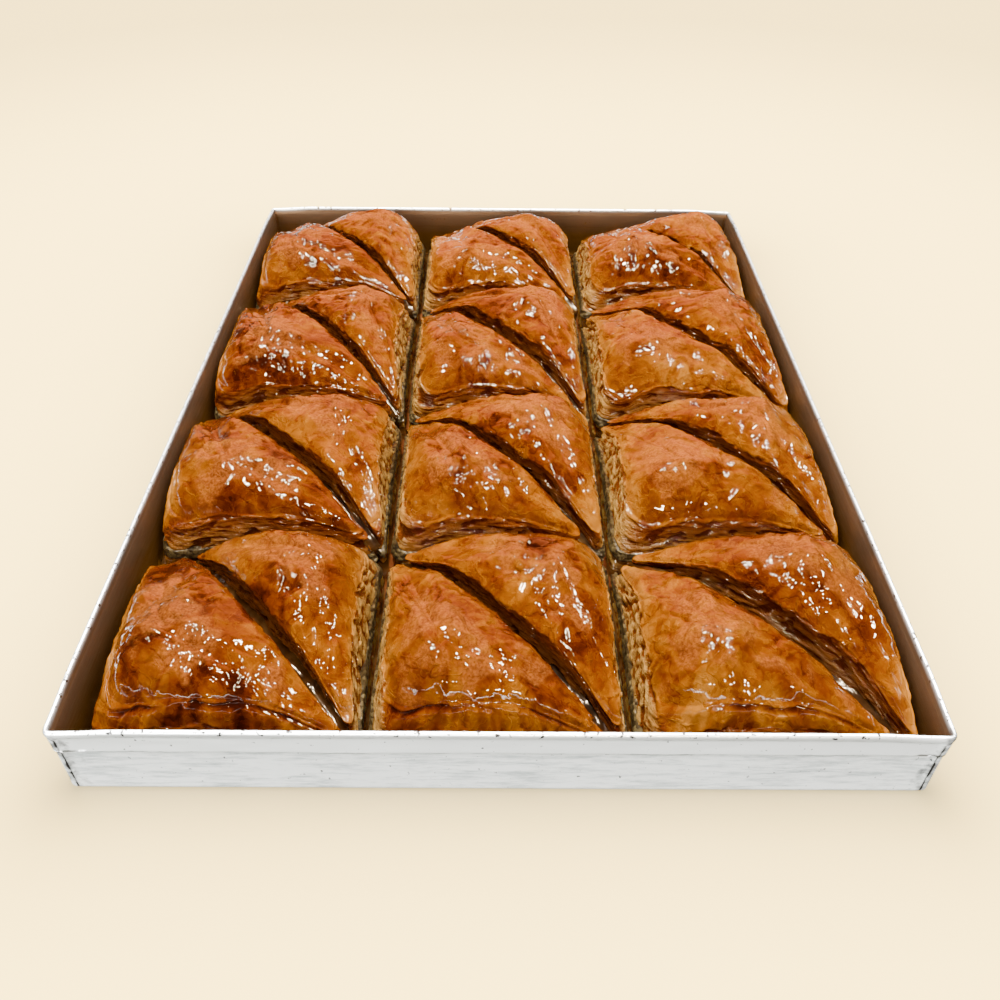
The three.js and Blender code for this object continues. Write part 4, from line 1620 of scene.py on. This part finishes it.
@dataclass(frozen=True)
class WornAluminium:
    """Rolled aluminium sheet, worn satin by washing.

    The eye gets a pale grey metal with faint scuffs along the walls, a painted shadow line under the hem
    and beneath the rolled rim, dark lines in the corner seams, and a brown burnt-on film inside.
    """

    bright: str = "#F4F6F4"
    dull: str = "#A6ACAC"
    # the smudge colour also paints the shadow lines under the hem and beneath the rim
    smudge_and_shade: str = "#242222"
    burnt: str = "#3C2408"
    metallic: float = 0.7
    rim_metallic: float = 0.85
    rim_roughness: float = 0.3
    hem_share: tuple[float, float] = (0.63, 0.67)
    rim_share: tuple[float, float] = (0.9, 0.95)

    def material(self) -> bpy.types.Material:
        """Makes the material: scuffs drawn out along the walls, and stains by attribute.

        Returns:
            The new material.
        """
        material, tree = new_material("worn_aluminium")
        place = add(tree, "ShaderNodeTexCoord").outputs["Object"]
        read = {
            name: add(tree, "ShaderNodeAttribute", attribute_name=name).outputs["Fac"]
            for name in ("inside", "height", "hem", "seam", "rim")
        }
        flat = add(tree, "ShaderNodeMapping", {"Vector": place, "Scale": (1, 1, 8)}).outputs["Vector"]
        scuff = add(
            tree,
            "ShaderNodeTexNoise",
            {"Vector": flat, "Scale": per_mm(17), "Detail": 8.0, "Roughness": 0.72},
        ).outputs["Fac"]
        metal = self.washed(tree, scuff, read["height"])
        # grime here also holds the painted shadow lines under the hem and beneath the rim
        grime_and_shade = self.grime_and_shade(tree, place, read)
        marked = add(
            tree,
            "ShaderNodeMix",
            {"Factor": grime_and_shade, "A": metal, "B": linear(self.smudge_and_shade)},
            data_type="RGBA",
        ).outputs["Result"]
        thick = add(
            tree,
            "ShaderNodeMapRange",
            {
                "Value": read["height"],
                "From Min": 0.97,
                "From Max": 0.45,
                "To Min": 0.98,
                "To Max": 1.0,
            },
        ).outputs["Result"]
        film = add(
            tree, "ShaderNodeMath", {0: thick, 1: read["inside"]}, operation="MULTIPLY"
        ).outputs["Value"]
        colour = add(
            tree,
            "ShaderNodeMix",
            {"Factor": film, "A": marked, "B": linear(self.burnt)},
            data_type="RGBA",
        ).outputs["Result"]
        rough = add(
            tree,
            "ShaderNodeMapRange",
            {"Value": scuff, "From Min": 0.3, "From Max": 0.7, "To Min": 0.28, "To Max": 0.46},
        ).outputs["Result"]
        low, high = self.rim_share
        rolled = add(
            tree, "ShaderNodeMapRange", {"Value": read["height"], "From Min": low, "From Max": high}
        ).outputs["Result"]
        rough = add(
            tree,
            "ShaderNodeMix",
            {"Factor": rolled, "A": rough, "B": self.rim_roughness},
            data_type="FLOAT",
        ).outputs["Result"]
        pure = add(
            tree,
            "ShaderNodeMix",
            {"Factor": rolled, "A": self.metallic, "B": self.rim_metallic},
            data_type="FLOAT",
        ).outputs["Result"]
        normal = add(
            tree, "ShaderNodeBump", {"Height": scuff, "Strength": 0.5, "Distance": 0.15 * MM}
        ).outputs["Normal"]
        return finish_material(
            material,
            {
                "Base Color": colour,
                "Metallic": pure,
                "Specular IOR Level": 0.1,
                "Roughness": rough,
                "Normal": normal,
            },
        )

    def washed(
        self, tree: bpy.types.NodeTree, scuff: bpy.types.NodeSocket, height: bpy.types.NodeSocket
    ) -> bpy.types.NodeSocket:
        """The bare metal's colour: duller in the scuffs, and brighter on the hem.

        Args:
            tree: the material's nodes.
            scuff: the scuffs, about 0 to 1.
            height: the height as a share of the tray's.

        Returns:
            The colour.
        """
        low, high = self.hem_share
        wear = add(
            tree, "ShaderNodeMapRange", {"Value": scuff, "From Min": 0.46, "From Max": 0.66}
        ).outputs["Result"]
        band = add(
            tree, "ShaderNodeMapRange", {"Value": height, "From Min": low, "From Max": high}
        ).outputs["Result"]
        wear = add(
            tree,
            "ShaderNodeMath",
            {0: band, 1: -0.9, 2: wear},
            operation="MULTIPLY_ADD",
            use_clamp=True,
        ).outputs["Value"]
        return add(
            tree,
            "ShaderNodeMix",
            {"Factor": wear, "A": linear(self.bright), "B": linear(self.dull)},
            data_type="RGBA",
        ).outputs["Result"]

    def grime_and_shade(
        self,
        tree: bpy.types.NodeTree,
        place: bpy.types.NodeSocket,
        read: dict[str, bpy.types.NodeSocket],
    ) -> bpy.types.NodeSocket:
        """Specks, marks near the lapped corners, a wavering dark line in the corner seams, and wavering
        painted shadow lines under the hem and beneath the rolled rim.

        Args:
            tree: the material's nodes.
            place: the object coordinates.
            read: the tray's values by name.

        Returns:
            How dark the grime is, 0 to 1.
        """
        cloud = add(
            tree, "ShaderNodeTexNoise", {"Vector": place, "Scale": per_mm(38), "Detail": 4.0}
        ).outputs["Fac"]
        speck = add(
            tree, "ShaderNodeTexNoise", {"Vector": place, "Scale": per_mm(2.0), "Detail": 2.0}
        ).outputs["Fac"]
        worn = add(
            tree,
            "ShaderNodeMapRange",
            {
                "Value": read["height"],
                "From Min": 0.93,
                "From Max": 0.97,
                "To Min": 0.7,
                "To Max": 0.595,
            },
        ).outputs["Result"]
        over = add(tree, "ShaderNodeMath", {0: speck, 1: worn}, operation="SUBTRACT").outputs["Value"]
        spots = add(tree, "ShaderNodeMapRange", {"Value": over, "From Max": 0.06}).outputs["Result"]
        wobble = add(
            tree, "ShaderNodeTexNoise", {"Vector": place, "Scale": per_mm(5), "Detail": 4.0}
        ).outputs["Fac"]
        corner = add(tree, "ShaderNodeMath", {0: read["seam"]}, operation="ABSOLUTE").outputs["Value"]
        corner = add(
            tree,
            "ShaderNodeMapRange",
            {"Value": corner, "From Max": 10.0, "To Min": 0.34, "To Max": 0.0},
        ).outputs["Result"]
        marks = add(tree, "ShaderNodeMath", {0: wobble, 1: corner}, operation="ADD").outputs["Value"]
        marks = add(
            tree,
            "ShaderNodeMapRange",
            {"Value": marks, "From Min": 0.74, "From Max": 0.92, "To Max": 0.8},
        ).outputs["Result"]
        grime_and_shade = add(tree, "ShaderNodeMath", {0: spots, 1: marks}, operation="MAXIMUM").outputs["Value"]
        # The hem and rim lines are painted shadow under the hem's step and beneath the rolled rim; the
        # seam line is the lapped corner's dark joint.
        lines = (("hem", 0.32, 0.65, 1.2), ("seam", 0.5, 0.45, 1.6), ("rim", 0.4, 0.35, 0.7))
        for name, half_width, faint, strength in lines:
            shifted = add(
                tree, "ShaderNodeMath", {0: wobble, 1: 1.6, 2: read[name]}, operation="MULTIPLY_ADD"
            ).outputs["Value"]
            away = add(
                tree, "ShaderNodeMath", {0: shifted, 1: 0.8}, operation="SUBTRACT"
            ).outputs["Value"]
            away = add(tree, "ShaderNodeMath", {0: away}, operation="ABSOLUTE").outputs["Value"]
            line = add(
                tree,
                "ShaderNodeMapRange",
                {"Value": away, "From Max": half_width, "To Min": 1.0, "To Max": 0.0},
            ).outputs["Result"]
            depth = add(
                tree,
                "ShaderNodeMapRange",
                {
                    "Value": cloud,
                    "From Min": 0.4,
                    "From Max": 0.62,
                    "To Min": faint,
                    "To Max": strength,
                },
            ).outputs["Result"]
            grime_and_shade = add(
                tree,
                "ShaderNodeMath",
                {0: line, 1: depth, 2: grime_and_shade},
                operation="MULTIPLY_ADD",
                use_clamp=True,
            ).outputs["Value"]
        return grime_and_shade


@dataclass(frozen=True)
class CreamFloor:
    """A matt cream studio floor that glows so that it stays pale and even, with a painted shadow round
    the tray and a painted darkening far off.
    """

    colour: str = "#7A6448"
    glow: tuple[float, float, float] = (7.5, 5.3, 1.45)
    # the shaded glow is the floor's tone under the painted shadow round the tray
    shaded: tuple[float, float, float] = (1.0, 0.85, 0.45)
    roughness: float = 0.9

    def material(self) -> bpy.types.Material:
        """Makes the material: one soft glowing tone, dimmed by the painted shadow round the tray and the
        painted darkening far off, which the shade attribute holds.

        Returns:
            The new material.
        """
        material, tree = new_material("cream_floor")
        shade = add(tree, "ShaderNodeAttribute", attribute_name="shade").outputs["Fac"]
        glow = add(
            tree,
            "ShaderNodeMix",
            {"Factor": shade, "A": (*self.shaded, 1.0), "B": (*self.glow, 1.0)},
            data_type="RGBA",
            clamp_factor=True,
        ).outputs["Result"]
        return finish_material(
            material,
            {
                "Base Color": linear(self.colour),
                "Roughness": self.roughness,
                "Emission Color": glow,
                "Emission Strength": 1.0,
            },
        )


class Reach(Enum):
    """Which part of a finish a lamp reaches."""

    ALL = "all"
    MATT = "matt"
    GLOSS = "gloss"


@dataclass(frozen=True)
class Lamp:
    """A rectangular lamp in metres, aimed at the middle of the tray.

    It lights one piece alone if only names it, and all but one if spare names it.
    """

    name: str
    place: tuple[float, float, float]
    size: tuple[float, float]
    power: float
    colour: str = "#FFFFFF"
    reach: Reach = Reach.ALL
    aim: tuple[float, float, float] = (0.0, 0.0, 0.03)
    only: str = ""
    spare: str = ""

    def build(self) -> None:
        """Adds the lamp."""
        data = bpy.data.lights.new(self.name, "AREA")
        data.shape = "RECTANGLE"
        data.size, data.size_y = self.size
        data.energy = self.power
        data.color = linear(self.colour)[:3]
        lamp = bpy.data.objects.new(self.name, data)
        way = Vector(self.aim) - Vector(self.place)
        turn = way.to_track_quat("-Z", "Y").to_matrix().to_4x4()
        lamp.matrix_world = Matrix.Translation(self.place) @ turn
        lamp.visible_glossy = self.reach is not Reach.MATT
        lamp.visible_diffuse = self.reach is not Reach.GLOSS
        if self.only or self.spare:
            group = bpy.data.collections.new(self.name)
            group.objects.link(bpy.data.objects[self.only or self.spare])
            group.collection_objects[0].light_linking.link_state = "INCLUDE" if self.only else "EXCLUDE"
            lamp.light_linking.receiver_collection = group
        bpy.context.scene.collection.objects.link(lamp)


@dataclass
class Studio:
    """The floor, the dim room and the lamps, and the camera that took the photograph.

    The camera's place in millimetres, turns and focal length come from the tray's corners.
    """

    place: tuple[float, float, float] = (-2.3, -366.6, 286.2)
    pitch: float = 0.7321
    yaw: float = 0.0067
    roll: float = 0.0111
    focal_share: float = 0.9025
    # how deep and how wide the floor's painted shadow round the tray is, and how far off its painted
    # darkening sets in
    shade_depth: float = 1.0
    shade_reach: float = 27
    far_shade: float = 0.55
    floor_reach: tuple[float, ...] = (
        *(2500.0, 2500, 1200, 600, 500, 400, 300, 220, 160, 100),
        *(60, 40, 28, 20, 14, 9, 5, 2, -1, -20),
    )
    room: str = "#FFDDB0"
    room_strength: float = 0.12
    backdrop: str = "#FFDC8C"
    backdrop_strength: float = 4.2
    lamps: tuple[Lamp, ...] = (
        Lamp("key", (-0.25, 0.5, 1.5), (0.4, 0.4), 29, "#FFEBD2", Reach.MATT),
        Lamp("fill", (0.2, -0.3, 1.6), (1.2, 1.2), 20, "#FFEBD2", Reach.MATT),
        Lamp("front", (0.1, -2.0, 0.9), (2.2, 0.8), 14, "#FFEBD2", Reach.MATT),
        Lamp("warm_wall", (0.0, 1.4, 0.9), (2.6, 1.8), 64, "#FF7E42", Reach.GLOSS, spare="tray_pan"),
        Lamp("lamp_1", (-0.25, 0.1, 1.5), (0.15, 0.07), 32, "#FFE4C0", Reach.GLOSS),
        Lamp("lamp_2", (0.2, -0.15, 1.5), (0.07, 0.15), 32, "#FFE4C0", Reach.GLOSS),
        Lamp("lamp_3", (0.0, -0.55, 1.4), (0.12, 0.07), 26, "#FFE4C0", Reach.GLOSS),
        Lamp("lamp_4", (0.2, -1.9, 0.6), (0.2, 0.1), 28, "#FFE4C0", Reach.GLOSS),
        Lamp("tray_panel", (0.0, 0.1, 1.6), (3.0, 2.2), 1000, only="tray_pan"),
        Lamp("tray_front", (-0.9, -1.5, 0.6), (2.0, 0.8), 170, "#FAFFFA", only="tray_pan"),
    )

    def camera(self) -> None:
        """Adds the camera: the view turns down by the pitch, then round by yaw and roll."""
        data = bpy.data.cameras.new("camera")
        data.sensor_width = 36
        data.lens = self.focal_share * data.sensor_width
        camera = bpy.data.objects.new("camera", data)
        bpy.context.scene.collection.objects.link(camera)
        turn = Matrix.Rotation(-self.yaw, 4, "Z") @ Matrix.Rotation(math.pi / 2 - self.pitch, 4, "X")
        turn = turn @ Matrix.Rotation(self.roll, 4, "Z")
        camera.matrix_world = Matrix.Translation([c * MM for c in self.place]) @ turn
        bpy.context.scene.camera = camera

    def floor(self, tray: Tray) -> bpy.types.Object:
        """Makes the floor: a thin slab with painted shade, dimmer by e^(-distance) round the tray as a
        painted shadow, and a little dimmer far off.

        Args:
            tray: the tray that stands on it.

        Returns:
            The floor, which is not seen in the part's own gloss.
        """
        reach = np.array(self.floor_reach)
        level = np.where(np.arange(len(reach)) == 0, -20, -0.05)
        rings = np.stack([tray.ring(far, z, 0, 0) for far, z in zip(reach, level)])
        # The shade attribute paints the tray's shadow on the floor, and a darkening far off.
        shade = 1 - self.shade_depth * np.exp(-np.maximum(reach, 0) / self.shade_reach)
        shade = shade * mix(1.0, self.far_shade, smooth((reach - 150) / 500))
        floor = Surface(rings, {"shade": np.repeat(shade[:, None], rings.shape[1], 1)}).mesh("floor")
        floor.visible_diffuse = floor.visible_glossy = False
        return floor

    def light(self) -> None:
        """Adds the room's dim light, the pale backdrop beyond the floor, and the lamps."""
        world = bpy.data.worlds.new("room")
        world.use_nodes = True
        tree = world.node_tree
        tree.nodes.clear()
        shown = ((self.room, self.room_strength), (self.backdrop, self.backdrop_strength))
        dim, pale = (
            add(
                tree, "ShaderNodeBackground", {"Color": linear(colour), "Strength": strength}
            ).outputs["Background"]
            for colour, strength in shown
        )
        seen = add(tree, "ShaderNodeLightPath").outputs["Is Camera Ray"]
        both = add(tree, "ShaderNodeMixShader", {0: seen, 1: dim, 2: pale}).outputs["Shader"]
        add(tree, "ShaderNodeOutputWorld", {"Surface": both})
        bpy.context.scene.world = world
        for lamp in self.lamps:
            lamp.build()


@dataclass
class Dresser:
    """Fastens finished pieces to the frame and reports them."""

    filo: bpy.types.Material
    pistachio: bpy.types.Material
    syrup: bpy.types.Material
    metal: bpy.types.Material

    def fasten(self, piece: bpy.types.Object, slot: str, node: str = "") -> None:
        """Gives a piece its finish and its place in the frame.

        Args:
            piece: the new object.
            slot: the record's material slot.
            node: the part's node that it stands for, if any.
        """
        finish = {
            "pastry": self.filo,
            "pistachio": self.pistachio,
            "syrup": self.syrup,
            "tray_metal": self.metal,
        }
        piece.data.materials.append(finish[slot])
        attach(piece, "root")
        if node:
            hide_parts(node)
        LOG.info("%s has %d faces", piece.name, len(piece.data.polygons))


def main() -> None:
    """Builds the tray, the pastry and its syrup, then the studio."""
    logging.basicConfig(level=logging.INFO, format="%(name)s: %(message)s")
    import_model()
    studio = Studio()
    studio.camera()
    dresser = Dresser(
        SyrupedFilo().material(),
        GroundPistachio().material(),
        SugarSyrup().material(),
        WornAluminium().material(),
    )
    tray = Tray()
    dresser.fasten(tray.surface().mesh("tray_pan"), "tray_metal", "tray")
    plan = CutPlan()
    pastry = Pastry()
    syrup = SyrupFill()
    dresser.fasten(syrup.pool(tray).mesh("syrup_pool"), "syrup")
    for row in range(len(plan.peaks)):
        for column in range(len(plan.peaks[row])):
            block = f"row{row + 1}_column{column + 1}"
            dresser.fasten(syrup.strip(plan, row, column, tray.sizes).mesh(f"syrup_{block}"), "syrup")
            for half in Half:
                triangle = plan.triangle(row, column, half, tray.sizes)
                name = f"{block}_{half.value}"
                node = f"baklava_{name}"
                dresser.fasten(pastry.under(triangle).mesh(f"leaves_under_{name}"), "pastry", node)
                dresser.fasten(pastry.filling(triangle).mesh(f"pistachio_{name}"), "pistachio", node)
                dresser.fasten(pastry.over(triangle).mesh(f"crust_{name}"), "pastry", node)
    floor = studio.floor(tray)
    floor.data.materials.append(CreamFloor().material())
    studio.light()


if __name__ == "__main__":
    main()
